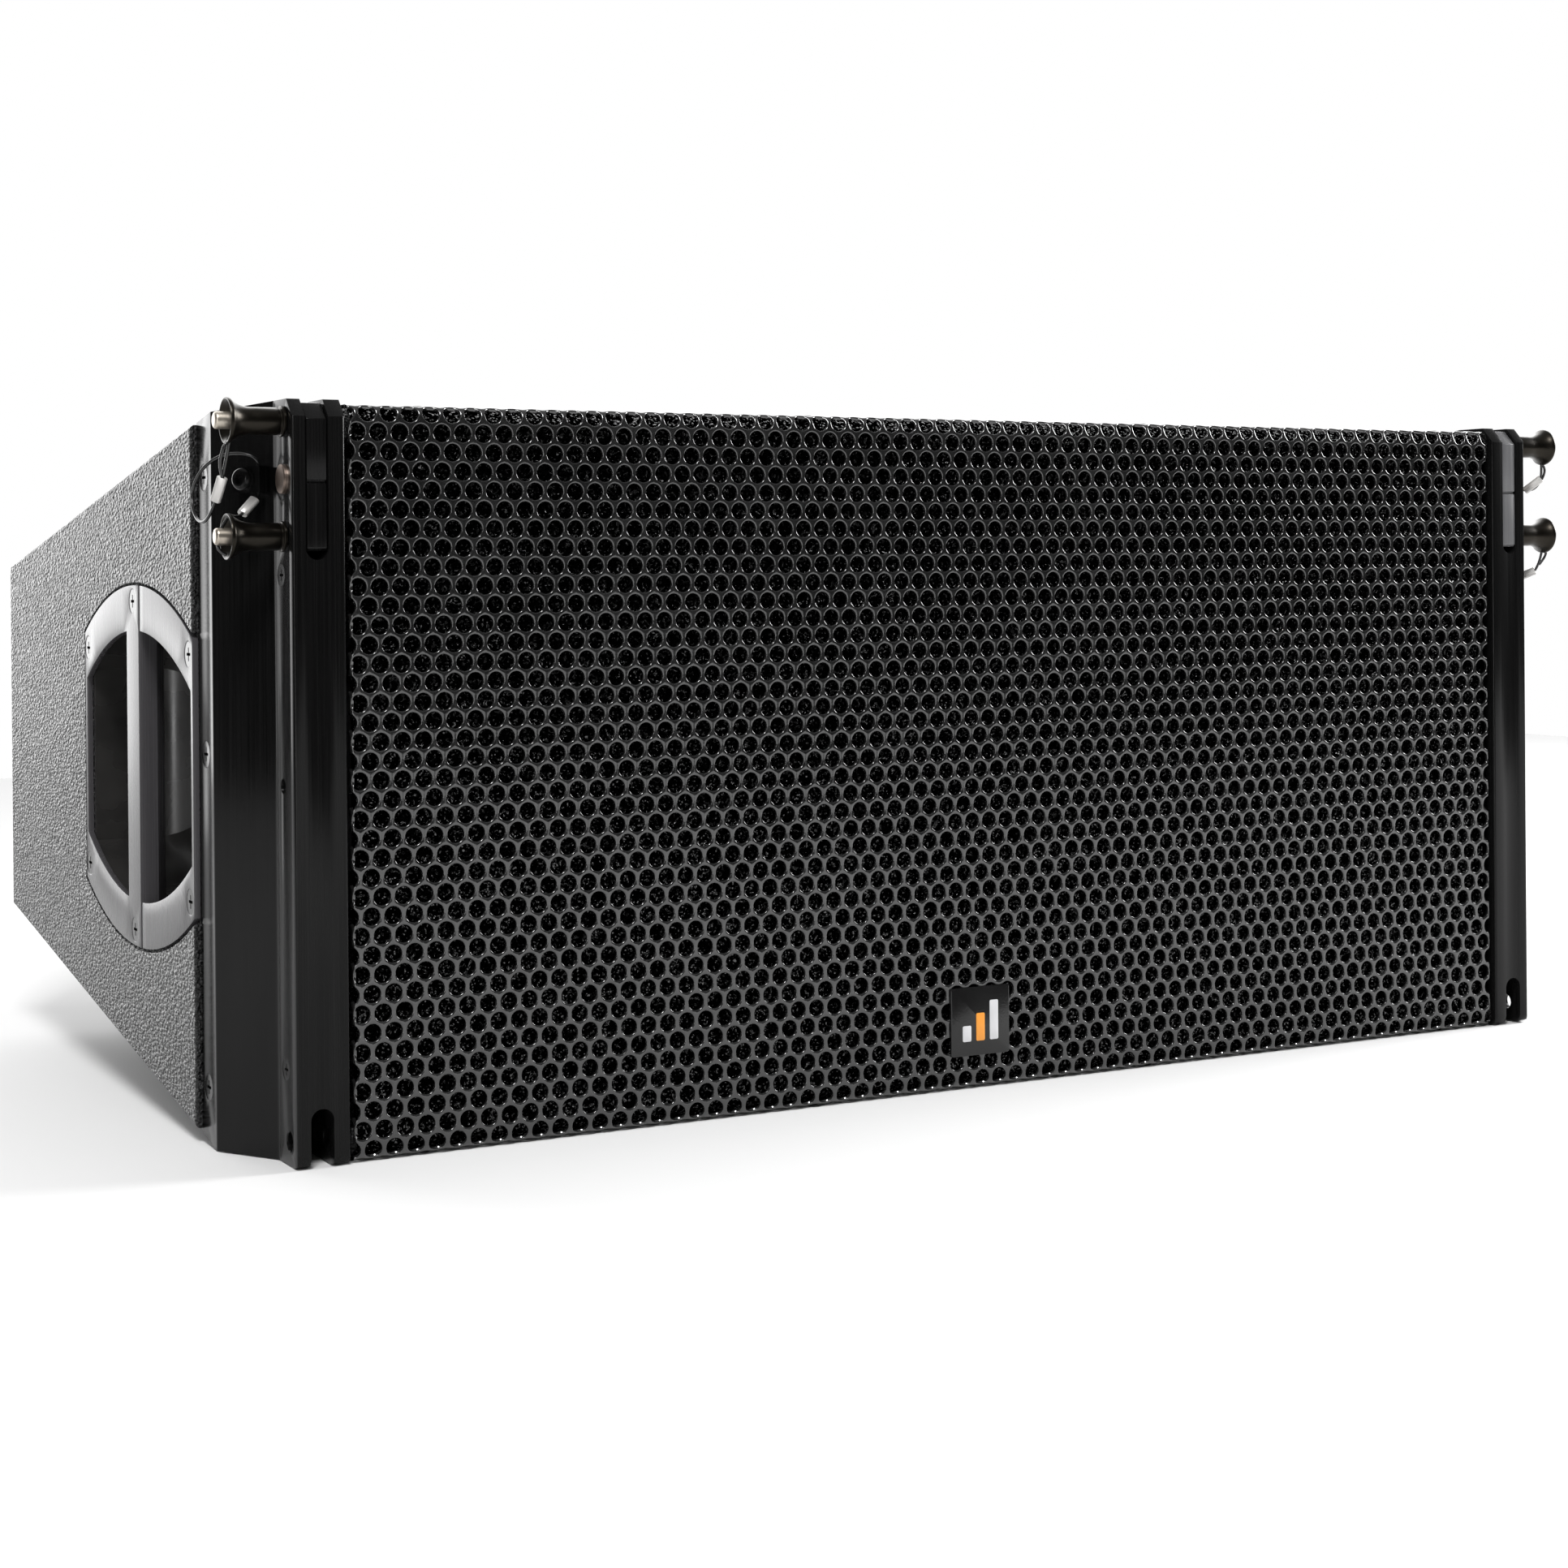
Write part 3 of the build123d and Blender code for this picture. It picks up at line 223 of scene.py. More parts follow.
def emboss(material, height, depth, strength=1.0):
    """Bump of this depth in metres."""
    tree = material.node_tree
    bump = tree.nodes.new("ShaderNodeBump")
    bump.inputs["Distance"].default_value = depth
    bump.inputs["Strength"].default_value = strength
    tree.links.new(height, bump.inputs["Height"])
    tree.links.new(bump.outputs[0], tree.nodes["shader"].inputs["Normal"])


# ---- materials ----
def textured_paint():
    """Sprayed granular paint: round beads of about a millimetre with fine grit between them; the raised bead
    tops carry a painted highlight, a lighter base colour that stands in for glints.
    """
    made = new_material("cabinet_paint", rough=0.5)
    tree = made.node_tree
    beads = remap(tree, cells(tree, 560.0, (1.0, 0.45, 1.0)), 0.10, 0.60, 1.0, 0.0)
    grit = noise(tree, 900.0, 2.0, (1.0, 0.45, 1.0))
    height = mixed(tree, beads, 0.7, grit, 0.6)
    # painted highlight: the base colour goes from near black in the hollows to grey on the raised bead tops
    # and grit peaks, standing in for glints on the beads
    tint(made, remap(tree, height, 0.45, 0.85, 0.0, 1.0), (0.003, 0.003, 0.003), (0.075, 0.075, 0.077))
    roughen(made, noise(tree, 500.0, 1.0), 0.22, 0.46)
    emboss(made, height, 0.007, 1.0)
    return made


def brushed_metal(name, dark, light, rough_low, rough_high, metallic=0.0, depth=0.00002, **sockets):
    """Finish with fine streaks up the metal, faint stains and handling marks."""
    made = new_material(name, metallic=metallic, **sockets)
    tree = made.node_tree
    streaks = noise(tree, 1.0, 4.0, (1300.0, 1300.0, 9.0))
    stains = noise(tree, 16.0, 3.0, (1.0, 1.0, 0.35))
    both = mixed(tree, streaks, 0.6, stains, 0.4)
    tint(made, remap(tree, both, 0.35, 0.65, 0.0, 1.0), dark, light)
    roughen(made, both, rough_low, rough_high)
    emboss(made, streaks, depth, 0.6)
    return made


def plain_coat(name, dark, light, rough_low, rough_high, grain=900.0, depth=0.00004, metallic=0.0, **sockets):
    """Coating with soft tone patches and a fine orange-peel grain."""
    made = new_material(name, metallic=metallic, **sockets)
    tree = made.node_tree
    patches = noise(tree, 30.0, 3.0)
    peel = noise(tree, grain, 2.0)
    tint(made, remap(tree, patches, 0.35, 0.65, 0.0, 1.0), dark, light)
    roughen(made, patches, rough_low, rough_high)
    emboss(made, peel, depth, 0.7)
    return made


def open_foam():
    """Open-cell foam: black, with glossy cell walls that glint, and painted shade that tints the pore centres
    darker than the walls.
    """
    made = new_material("foam_black", rough=0.4)
    tree = made.node_tree
    pores = cells(tree, 900.0)
    walls = remap(tree, pores, 0.35, 0.75, 0.0, 1.0)
    # painted shade: the pore centres, sunk by the bump, get a darker base colour than the cell walls
    tint(made, walls, (0.0001, 0.0001, 0.0001), (0.0008, 0.0008, 0.0008))
    shiny = remap(tree, noise(tree, 800.0, 0.0), 0.58, 0.66, 0.0, 1.0)
    tree.links.new(shiny, tree.nodes["shader"].inputs["Specular IOR Level"])
    roughen(made, noise(tree, 1200.0, 1.0), 0.10, 0.24)
    emboss(made, walls, 0.0010, 1.0)
    return made


def plywood():
    """Bare birch: long figure with fine pores."""
    made = new_material("birch_plywood", rough=0.6)
    tree = made.node_tree
    figure = noise(tree, 14.0, 6.0, (1.0, 1.0, 14.0))
    tint(made, remap(tree, figure, 0.3, 0.7, 0.0, 1.0), (0.42, 0.28, 0.15), (0.62, 0.47, 0.30))
    roughen(made, figure, 0.5, 0.7)
    emboss(made, noise(tree, 900.0, 2.0, (1.0, 1.0, 5.0)), 0.00006, 0.6)
    return made


def turned_steel(name, dark, light, rough_low, rough_high):
    """Bright metal with fine turning marks round the X axis."""
    made = new_material(name, metallic=1.0)
    tree = made.node_tree
    marks = noise(tree, 1.0, 3.0, (3500.0, 60.0, 60.0))
    tint(made, remap(tree, marks, 0.3, 0.7, 0.0, 1.0), dark, light)
    roughen(made, marks, rough_low, rough_high)
    emboss(made, marks, 0.00001, 0.5)
    return made


# for each name: dark and light tone, lowest and highest roughness, and what differs from the finish
BRUSHED = {
    "column_black": ((0.002, 0.002, 0.002), (0.006, 0.006, 0.006), 0.15, 0.23, {"Specular_IOR_Level": 0.15}),
    "link_grey": ((0.05, 0.05, 0.052), (0.13, 0.13, 0.135), 0.28, 0.42, {}),
    "handle_metal": (
        (0.046, 0.044, 0.047), (0.056, 0.054, 0.057), 0.24, 0.30,
        {"Specular_IOR_Level": 0.3, "depth": 0.000008},
    ),
}
TURNED = {
    "guide_pin_steel": ((0.20, 0.155, 0.13), (0.30, 0.24, 0.205), 0.34, 0.46, {}),
    "crossover_copper": ((0.45, 0.20, 0.09), (0.65, 0.34, 0.17), 0.25, 0.4, {}),
}
COATS = {
    "black_screw": (
        (0.004, 0.004, 0.004), (0.012, 0.012, 0.012), 0.14, 0.22, {"Specular_Tint": (0.3, 0.3, 0.3, 1.0)},
    ),
    "pin_bronze": (
        (0.017, 0.015, 0.012), (0.024, 0.021, 0.017), 0.28, 0.34,
        {"metallic": 0.9, "Specular_IOR_Level": 0.3},
    ),
    "button_steel": ((0.36, 0.32, 0.27), (0.46, 0.42, 0.36), 0.30, 0.40, {"depth": 0.00001, "metallic": 0.9}),
    "lanyard_black": ((0.006, 0.006, 0.006), (0.016, 0.016, 0.016), 0.20, 0.32, {}),
    "ferrule_metal": (
        (0.48, 0.47, 0.455), (0.58, 0.57, 0.555), 0.36, 0.50,
        {"grain": 1400.0, "depth": 0.00003, "metallic": 0.45},
    ),
    "cup_black": ((0.014, 0.0135, 0.013), (0.024, 0.023, 0.022), 0.22, 0.32, {"grain": 500.0}),
    "grille_black": (
        (0.008, 0.008, 0.008), (0.013, 0.013, 0.013), 0.11, 0.17,
        {"grain": 700.0, "depth": 0.00003, "Specular_IOR_Level": 1.0},
    ),
    "badge_black": ((0.004, 0.004, 0.004), (0.008, 0.008, 0.008), 0.16, 0.24, {}),
    "badge_silver": ((0.55, 0.55, 0.56), (0.68, 0.68, 0.70), 0.28, 0.4, {}),
    "badge_orange": ((0.75, 0.27, 0.03), (0.85, 0.34, 0.05), 0.3, 0.42, {}),
    "basket_metal": ((0.02, 0.02, 0.02), (0.045, 0.045, 0.045), 0.35, 0.55, {}),
    "magnet_steel": ((0.16, 0.16, 0.165), (0.28, 0.28, 0.285), 0.28, 0.40, {"metallic": 1.0}),
    "surround_rubber": ((0.012, 0.012, 0.012), (0.025, 0.025, 0.025), 0.5, 0.65, {}),
    "cone_paper": (
        (0.030, 0.027, 0.023), (0.055, 0.050, 0.045), 0.6, 0.8, {"grain": 400.0, "depth": 0.0002},
    ),
    "horn_plastic": ((0.012, 0.012, 0.012), (0.024, 0.024, 0.024), 0.35, 0.5, {}),
    "circuit_board": ((0.012, 0.07, 0.025), (0.02, 0.11, 0.04), 0.25, 0.4, {}),
    "input_metal": ((0.014, 0.014, 0.014), (0.028, 0.028, 0.028), 0.35, 0.5, {}),
    "socket_plastic": ((0.010, 0.010, 0.011), (0.020, 0.020, 0.022), 0.28, 0.42, {}),
    "rear_steel": ((0.014, 0.014, 0.014), (0.030, 0.030, 0.030), 0.30, 0.45, {}),
}


def make_materials():
    kinds = {"cabinet_paint": textured_paint(), "birch_plywood": plywood(), "foam_black": open_foam()}
    for make, table in ((brushed_metal, BRUSHED), (turned_steel, TURNED), (plain_coat, COATS)):
        for name, (dark, light, rough_low, rough_high, others) in table.items():
            kinds[name] = make(name, dark, light, rough_low, rough_high, **others)
    return kinds


materials = make_materials()


def finished(piece, body, slot, material=None, replaces=()):
    """A new piece gets the material of its slot or the one named instead, is attached to its body, and stands
    for CAD nodes.
    """
    piece.data.materials.clear()
    piece.data.materials.append(materials[material or slot])
    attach(piece, body)
    if replaces:
        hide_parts(*replaces)
    return piece


def dress_cad_nodes():
    for name, node in nodes.items():
        node.data.materials.clear()
        node.data.materials.append(materials[node_slot[name]])


dress_cad_nodes()


# ---- pieces that keep their CAD shape and get rounded edges ----
def eased(name, width, segments=2, sharp_from=38.0):
    """Copy of a CAD node with edges rounded over width millimetres, standing for the node."""
    work = bmesh.new()
    work.from_mesh(nodes[name].data)
    bmesh.ops.remove_doubles(work, verts=work.verts, dist=2e-6)
    bmesh.ops.dissolve_limit(work, angle_limit=math.radians(0.8), verts=work.verts, edges=work.edges)
    limit = math.radians(sharp_from)
    corners = [e for e in work.edges if len(e.link_faces) == 2 and e.calc_face_angle(0.0) > limit]
    bmesh.ops.bevel(
        work, geom=corners, offset=width * MM, offset_type="OFFSET", segments=segments, profile=0.5,
        affect="EDGES", clamp_overlap=True,
    )
    bmesh.ops.remove_doubles(work, verts=work.verts, dist=2e-6)
    bmesh.ops.triangulate(work, faces=[f for f in work.faces if len(f.verts) > 4])
    mesh = bpy.data.meshes.new(name + "_eased")
    mesh.from_pydata([v.co.copy() for v in work.verts], [], [[v.index for v in f.verts] for f in work.faces])
    work.free()
    shade(mesh, 30.0)
    piece = new_object(name + "_eased", mesh)
    return finished(piece, node_body[name], node_slot[name], replaces=[name])


EASED = {"side_panel": 1.6, "front_frame": 0.35, "link_bar": 0.4, "handle_plate": 0.3}


def make_eased():
    for stem, width in EASED.items():
        for side_name in SIDES:
            eased(f"{stem}_{side_name}", width)
    eased("top_panel", 1.2)
    eased("bottom_panel", 1.2)
    eased("rear_panel", 1.2)
    eased("rear_bracket", 0.4)
    eased("rear_link", 0.4)
    eased("input_plate", 0.4)


make_eased()


# ---- turned pieces ----
def turned(name, profile, origin, out, steps=48):
    """Piece turned about X from (along, radius) pairs in millimetres; out is the way along grows."""
    verts = []
    faces = []
    for step in range(steps):
        angle = 2 * math.pi * step / steps
        for along, radius in profile:
            offset = Vector((out * along, radius * math.cos(angle), radius * math.sin(angle))) * MM
            verts.append(origin + offset)
    count = len(profile)
    for step in range(steps):
        here = step * count
        there = (step + 1) % steps * count
        for row in range(count - 1):
            faces.append((here + row, here + row + 1, there + row + 1, there + row))
    mesh = bpy.data.meshes.new(name)
    mesh.from_pydata(verts, [], faces)
    work = bmesh.new()
    work.from_mesh(mesh)
    bpy.data.meshes.remove(mesh)
    bmesh.ops.remove_doubles(work, verts=work.verts, dist=1e-7)
    return built(name, work, 34.0)


def arc_through(first, middle, last, steps):
    """Points on the circle through three points, from the first to the last."""
    (ax, ay), (bx, by), (cx, cy) = first, middle, last
    d = 2 * (ax * (by - cy) + bx * (cy - ay) + cx * (ay - by))
    sq_a, sq_b, sq_c = ax * ax + ay * ay, bx * bx + by * by, cx * cx + cy * cy
    ux = (sq_a * (by - cy) + sq_b * (cy - ay) + sq_c * (ay - by)) / d
    uy = (sq_a * (cx - bx) + sq_b * (ax - cx) + sq_c * (bx - ax)) / d
    start = math.atan2(ay - uy, ax - ux)
    sweep = (math.atan2(cy - uy, cx - ux) - start + math.pi) % (2 * math.pi) - math.pi
    radius = math.hypot(ax - ux, ay - uy)
    spots = [start + sweep * i / steps for i in range(steps + 1)]
    return [(ux + radius * math.cos(t), uy + radius * math.sin(t)) for t in spots]


PIN_BODY, PIN_NECK, COLLAR = 6.15, 5.7, 6.9


def pin_profile(reach):
    shank = [(-reach, 0), (-reach, 3.0), (0.9 - reach, 3.9), (1.3 - reach, 4.0), (0.3, 4.0), (0.4, 4.15)]
    collar = [(0.4, 6.6), (0.6, 6.85), (0.9, COLLAR), (1.6, COLLAR), (1.8, 6.75), (1.9, 6.0), (2.2, PIN_NECK)]
    grip = [(2.7, PIN_NECK), (2.9, 6.0), (3.2, PIN_BODY), (13.5, PIN_BODY)]
    flare = arc_through((13.5, PIN_BODY), (20.4, 7.3), (24.6, 10.1), 10)[1:]
    lip = [(24.9, 10.22), (25.3, 10.3), (25.8, 10.28), (26.1, 10.15), (26.2, 9.9), (26.15, 9.5), (26.0, 9.3)]
    hollow = arc_through((25.9, 9.15), (22.6, 6.9), (19.5, 5.9), 8)
    well = [(19.3, 5.6), (19.2, 4.4), (19.0, 4.15), (8.0, 4.12), (8.0, 0)]
    return shank + collar + grip + flare + lip + hollow + well


BUTTON_PROFILE = [
    (13.0, 0), (13.0, 3.9), (29.9, 3.9), (30.5, 3.78), (31.0, 3.45), (31.25, 2.9), (31.3, 2.2), (31.3, 0),
]


def pin_origin(name):
    """The pin's axis at the face that its collar meets, the side it points to, and its shank's reach."""
    low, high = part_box(name)
    side = 1 if name.endswith("right") else -1
    reach = 25.0 if name == "pin_rear" else 28.0
    inner = low.x if side > 0 else high.x
    return Vector((inner + side * reach * MM, (low.y + high.y) / 2, (low.z + high.z) / 2)), side, reach


def make_pins():
    for name in [n for n in nodes if n.startswith("pin_")]:
        origin, side, reach = pin_origin(name)
        pin = turned(name + "_turned", pin_profile(reach), origin, side, 56)
        finished(pin, node_body[name], "pin_bronze", replaces=[name])
        button_name = name.replace("pin_", "button_")
        button = turned(button_name + "_turned", BUTTON_PROFILE, origin, side, 40)
        finished(button, node_body[button_name], "button_steel", replaces=[button_name])


make_pins()


# ---- perforated grille ----
PITCH_X = 10.0
PITCH_Z = PITCH_X * math.sqrt(3) / 2
HOLE = 4.0
RIM = 0.62                   # how far the rolled rim reaches from the hole's wall
ROW_BASE = 187.0             # height of row 0
ROWS = range(-22, 19)
COLUMNS = range(-35, 36)
EVEN_X, ODD_X = -0.9, 4.1    # place across of one hole in even and in odd rows
SHEET_HALF = 334.5
SHEET_FRONT = 1.5            # depth of the sheet's front face
SHEET = 1.5
BEND = 6.0                   # outer radius of the bends at top and bottom
SHEET_TOP = 338.0
RETURN_BACK = 14.0           # depth at which the bent edges end
ARC = (BEND - SHEET / 2) * math.pi / 2
AROUND = 18                  # points round a hole, a multiple of six
# radius and depth of a cell's rings; no radius means the edge shared with its neighbours
CELL_RINGS = (
    (None, 0.0), (HOLE + RIM, 0.0), (HOLE + RIM * 0.5, RIM * 0.14), (HOLE + RIM * 0.14, RIM * 0.5),
    (HOLE, RIM), (HOLE, SHEET), (None, SHEET),
)
SIDE_BEND = 1.6              # outer radius of the fold at the sheet's sides
FOLD_START = SHEET_HALF - SIDE_BEND
FOLD_TURN = SIDE_BEND * math.pi / 2
SIDE_END = FOLD_START + FOLD_TURN + 3.0      # where the flat sheet ends across
LAST_CELL = SIDE_END + PITCH_X / 2 - 0.01    # cells centred further out than this are off the sheet
FOLD_CUTS = 3                # bands in each side fold
FLAT_TOP = SHEET_TOP - BEND + ARC + RETURN_BACK - SHEET_FRONT - BEND
FLAT_BOTTOM = SHEET_TOP - FLAT_TOP


def folded(x, inward, s):
    """Point of the sheet with its sides folded back; x and s are measured along the flat sheet."""
    past = abs(x) - FOLD_START
    if past <= 0:
        return bent(x, s, inward)
    side = math.copysign(1.0, x)
    if not BEND <= s <= SHEET_TOP - BEND:
        return bent(side * min(abs(x), SHEET_HALF), s, inward)
    radius = max(SIDE_BEND - inward, 0.1)
    angle = min(past / FOLD_TURN, 1.0) * math.pi / 2
    across = side * (FOLD_START + radius * math.sin(angle))
    return bent(across, s, SIDE_BEND - radius * math.cos(angle) + max(past - FOLD_TURN, 0.0))


def bent(x, s, inward):
    """Point of the sheet with its top and bottom bent: s runs up along it, inward is below its face."""
    for edge, up in ((SHEET_TOP - BEND, 1), (BEND, -1)):
        past = (s - edge) * up
        if past <= 0:
            continue
        radius = BEND - inward
        if past < ARC:
            angle = past / ARC * math.pi / 2
            return at(x, SHEET_FRONT + BEND - radius * math.cos(angle), edge + up * radius * math.sin(angle))
        return at(x, SHEET_FRONT + BEND + past - ARC, edge + up * radius)
    return at(x, SHEET_FRONT + inward, s)


def slice_sheet(work, place, outward, clear):
    """Cut the flat sheet at a plane; what lies beyond is kept, or cleared and the end closed."""
    cut = bmesh.ops.bisect_plane(
        work, geom=work.verts[:] + work.edges[:] + work.faces[:], dist=1e-4,
        plane_co=place, plane_no=outward, clear_outer=clear,
    )
    if clear:
        edges = [e for e in cut["geom_cut"] if isinstance(e, bmesh.types.BMEdge)]
        rim = [e for e in edges if e.is_valid and e.is_boundary]
        bmesh.ops.edgeloop_fill(work, edges=rim)


def make_grille():
    """Perforated sheet, laid out flat in millimetres, cut to size and then bent."""
    work = bmesh.new()
    angles = [math.radians(10.0 + 360.0 / AROUND * k) for k in range(AROUND)]
    for row in ROWS:
        base = EVEN_X if row % 2 == 0 else ODD_X
        s = ROW_BASE + PITCH_Z * row
        for column in COLUMNS:
            x = base + PITCH_X * column
            if abs(x) > LAST_CELL:
                continue
            rings = []
            for radius_here, inward in CELL_RINGS:
                ring = []
                for angle in angles:
                    from_flat = (angle + math.pi / 6) % (math.pi / 3) - math.pi / 6
                    radius = radius_here or PITCH_X / 2 / math.cos(from_flat)
                    spot = (x + radius * math.cos(angle), inward, s + radius * math.sin(angle))
                    ring.append(work.verts.new(spot))
                rings.append(ring)
            for outer, inner in zip(rings, rings[1:]):
                strip_between(work, outer, inner)
    bmesh.ops.remove_doubles(work, verts=work.verts, dist=0.004)
    for side in SIDES.values():
        slice_sheet(work, (side * SIDE_END, 0, 0), (side, 0, 0), True)
        for step in range(FOLD_CUTS + 1):
            place = side * (FOLD_START + FOLD_TURN * step / FOLD_CUTS)
            slice_sheet(work, (place, 0, 0), (side, 0, 0), False)
    slice_sheet(work, (0, 0, FLAT_TOP), (0, 0, 1), True)
    slice_sheet(work, (0, 0, FLAT_BOTTOM), (0, 0, -1), True)
    for vert in work.verts:
        vert.co = folded(*vert.co)
    bmesh.ops.remove_doubles(work, verts=work.verts, dist=4e-6)
    bmesh.ops.dissolve_degenerate(work, edges=work.edges, dist=2e-6)
    grille = built("perforated_grille", work, 62.0)
    finished(grille, "cabinet", "grille_black", replaces=["grille"])


make_grille()


FOAM_STEP, FOAM_DIP, FOAM_EDGE_DIP = 2.4, 1.1, 0.4       # grid of the foam's face, and how far it dips


def make_foam():
    """Foam slab with an uneven open face behind the grille."""
    low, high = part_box("grille_foam")
    step = FOAM_STEP * MM
    across = int((high.x - low.x) / step)
    upward = int((high.z - low.z) / step)
    draw = random.Random(11)
    work = bmesh.new()
    grid = []
    for row in range(upward + 1):
        line = []
        for column in range(across + 1):
            edge = row in (0, upward) or column in (0, across)
            y = low.y + (FOAM_EDGE_DIP if edge else draw.uniform(0.0, FOAM_DIP)) * MM
            x = low.x + (high.x - low.x) * column / across
            line.append(work.verts.new((x, y, low.z + (high.z - low.z) * row / upward)))
        grid.append(line)
    for line, line_above in zip(grid, grid[1:]):
        for c in range(across):
            work.faces.new((line[c], line[c + 1], line_above[c + 1], line_above[c]))
    rim = [e for e in work.edges if e.is_boundary]
    walls = bmesh.ops.extrude_edge_only(work, edges=rim)["geom"]
    for vert in [v for v in walls if isinstance(v, bmesh.types.BMVert)]:
        vert.co.y = high.y
    bmesh.ops.edgeloop_fill(work, edges=[e for e in work.edges if e.is_boundary])
    foam = built("open_foam", work, 60.0)
    finished(foam, "cabinet", "foam_black", replaces=["grille_foam"])


make_foam()


FELT_HALF = 333.0


def make_felt_strips():
    """Thin damping strips between the sheet and the front edges of the top and bottom panels.

    The outlines are pairs of depth and distance from the cabinet's middle plane.
    """
    outer = [(3.3, 152.0), (3.3, 162.5), (8.2, 167.3)]
    inner = [(8.6, 166.6), (4.1, 162.1), (4.1, 152.0)]
    for number, up in ((1, 1), (2, -1)):
        work = bmesh.new()
        loops = []
        for x in (-FELT_HALF, FELT_HALF):
            loops.append([work.verts.new(at(x, depth, MID + up * rise)) for depth, rise in outer + inner])
        strip_between(work, *loops)
        for loop in loops:
            work.faces.new(loop)
        finished(built(f"felt_strip_{number}", work), "cabinet", "foam_black")


make_felt_strips()


# ---- badge ----
def rounded_block(name, centre, size, radius, edge):
    """Thin plate facing forward, with round corners and a softened front edge; sizes in millimetres."""
    half_x, half_z, thick = size[0] / 2, size[2] / 2, size[1]
    work = bmesh.new()
    rings = []
    for inset, depth in ((0, thick), (0, edge), (edge * 0.3, edge * 0.3), (edge, 0)):
        ring = []
        for quarter in range(4):
            corner = math.radians(90 * quarter + 45)
            cx = math.copysign(half_x - radius, math.cos(corner))
            cz = math.copysign(half_z - radius, math.sin(corner))
            for i in range(7):
                angle = math.radians(90 * quarter + 15 * i)
                r = radius - inset
                spot = Vector((cx + r * math.cos(angle), depth, cz + r * math.sin(angle)))
                ring.append(work.verts.new(centre + spot * MM))
        rings.append(ring)
    for outer, inner in zip(rings, rings[1:]):
        strip_between(work, outer, inner)
    work.faces.new(rings[0])
    work.faces.new(rings[-1])
    return built(name, work, 30.0)


BADGE_X, BADGE_Z, BADGE_SIDE = -7.8, 34.0, 34.5
BARS_FOOT, BAR_WIDTH = 24.0, 5.0


def make_badge():
    place = at(BADGE_X, 0.35, BADGE_Z)
    plate = rounded_block("badge_plate_rounded", place, (BADGE_SIDE, 1.1, BADGE_SIDE), 1.2, 0.3)
    finished(plate, "cabinet", "badge_black", replaces=["badge_plate"])
    bars = ((-8.0, 8.0, "badge_silver"), (0.0, 14.0, "badge_orange"), (8.0, 20.0, "badge_silver"))
    for number, (step, rise, material) in enumerate(bars, 1):
        place = at(BADGE_X + step, 0.12, BARS_FOOT + rise / 2)
        bar = rounded_block(f"badge_bar_{number}", place, (BAR_WIDTH, 0.35, rise), 0.8, 0.1)
        finished(bar, "cabinet", "badge_black", material)


make_badge()


# ---- lanyards ----
WIRE = 1.5
ROUTES = {
    "lanyard_upper_left": [
        (-385.4, 12.0, 320.6), (-387.0, 14.0, 308.0), (-389.2, 20.0, 294.5), (-390.6, 31.5, 285.2),
        (-391.2, 45.0, 287.0), (-391.2, 54.0, 297.5), (-388.2, 50.0, 309.5), (-380.5, 38.5, 317.0),
        (-368.4, 29.0, 316.0), (-366.9, 30.4, 311.5),
    ],
    "lanyard_lower_left": [
        (-385.6, 12.0, 288.6), (-383.4, 15.6, 288.0), (-378.6, 20.4, 288.0), (-375.4, 23.6, 290.4),
        (-366.9, 30.4, 298.1),
    ],
    "lanyard_upper_right": [
        (385.4, 12.0, 320.6), (387.2, 13.0, 311.5), (384.6, 18.5, 304.6), (377.4, 24.0, 306.4),
        (368.4, 29.0, 316.0), (366.9, 30.4, 311.5),
    ],
    "lanyard_lower_right": [
        (385.4, 12.0, 269.6), (385.0, 14.5, 259.0), (379.6, 22.0, 253.0), (373.4, 32.0, 256.5),
        (371.8, 33.0, 270.0), (371.6, 29.0, 285.0), (366.9, 30.4, 298.1),
    ],
}
EYES = {
    "lanyard_upper_left": [
        (-387.4, 15.2, 304.4), (-389.6, 13.0, 309.5), (-389.0, 10.8, 316.5), (-386.6, 11.4, 321.0),
        (-384.4, 12.2, 321.4),
    ],
    "lanyard_lower_left": [
        (-386.6, 11.4, 287.0), (-389.4, 11.6, 283.0), (-391.2, 12.0, 277.0), (-390.2, 12.0, 272.2),
        (-387.0, 12.0, 271.0),
    ],
    "lanyard_upper_right": [
        (386.6, 13.2, 311.0), (388.8, 12.4, 315.0), (387.6, 12.0, 319.6), (385.2, 12.0, 321.2),
    ],
    "lanyard_lower_right": [
        (385.2, 14.0, 262.0), (389.0, 12.6, 266.5), (388.8, 12.0, 271.0), (385.6, 12.0, 271.4),
    ],
}
FERRULES = {                  # how far along its wire each sleeve starts
    "lanyard_upper_left": 16.0,
    "lanyard_lower_left": 13.5,
    "lanyard_upper_right": 9.0,
    "lanyard_lower_right": 12.0,
}
FERRULE_LENGTH, FERRULE_WIDE, FERRULE_DEEP = 12.0, 2.35, 1.55
LUG_LOOP = [
    (366.9, 30.4, 311.5), (366.3, 30.9, 308.0), (366.2, 31.0, 304.8), (366.3, 30.9, 301.6),
    (366.9, 30.4, 298.1),
]


def wire(name, route, thickness):
    curve = bpy.data.curves.new(name, "CURVE")
    curve.dimensions = "3D"
    curve.bevel_depth = thickness / 2 * MM
    curve.bevel_resolution = 5
    curve.resolution_u = 10
    curve.use_fill_caps = True
    spline = curve.splines.new("NURBS")
    spline.points.add(len(route) - 1)
    for point, spot in zip(spline.points, route):
        point.co = (*at(*spot), 1.0)
    spline.order_u = 3
    spline.use_endpoint_u = True
    return new_object(name, curve)


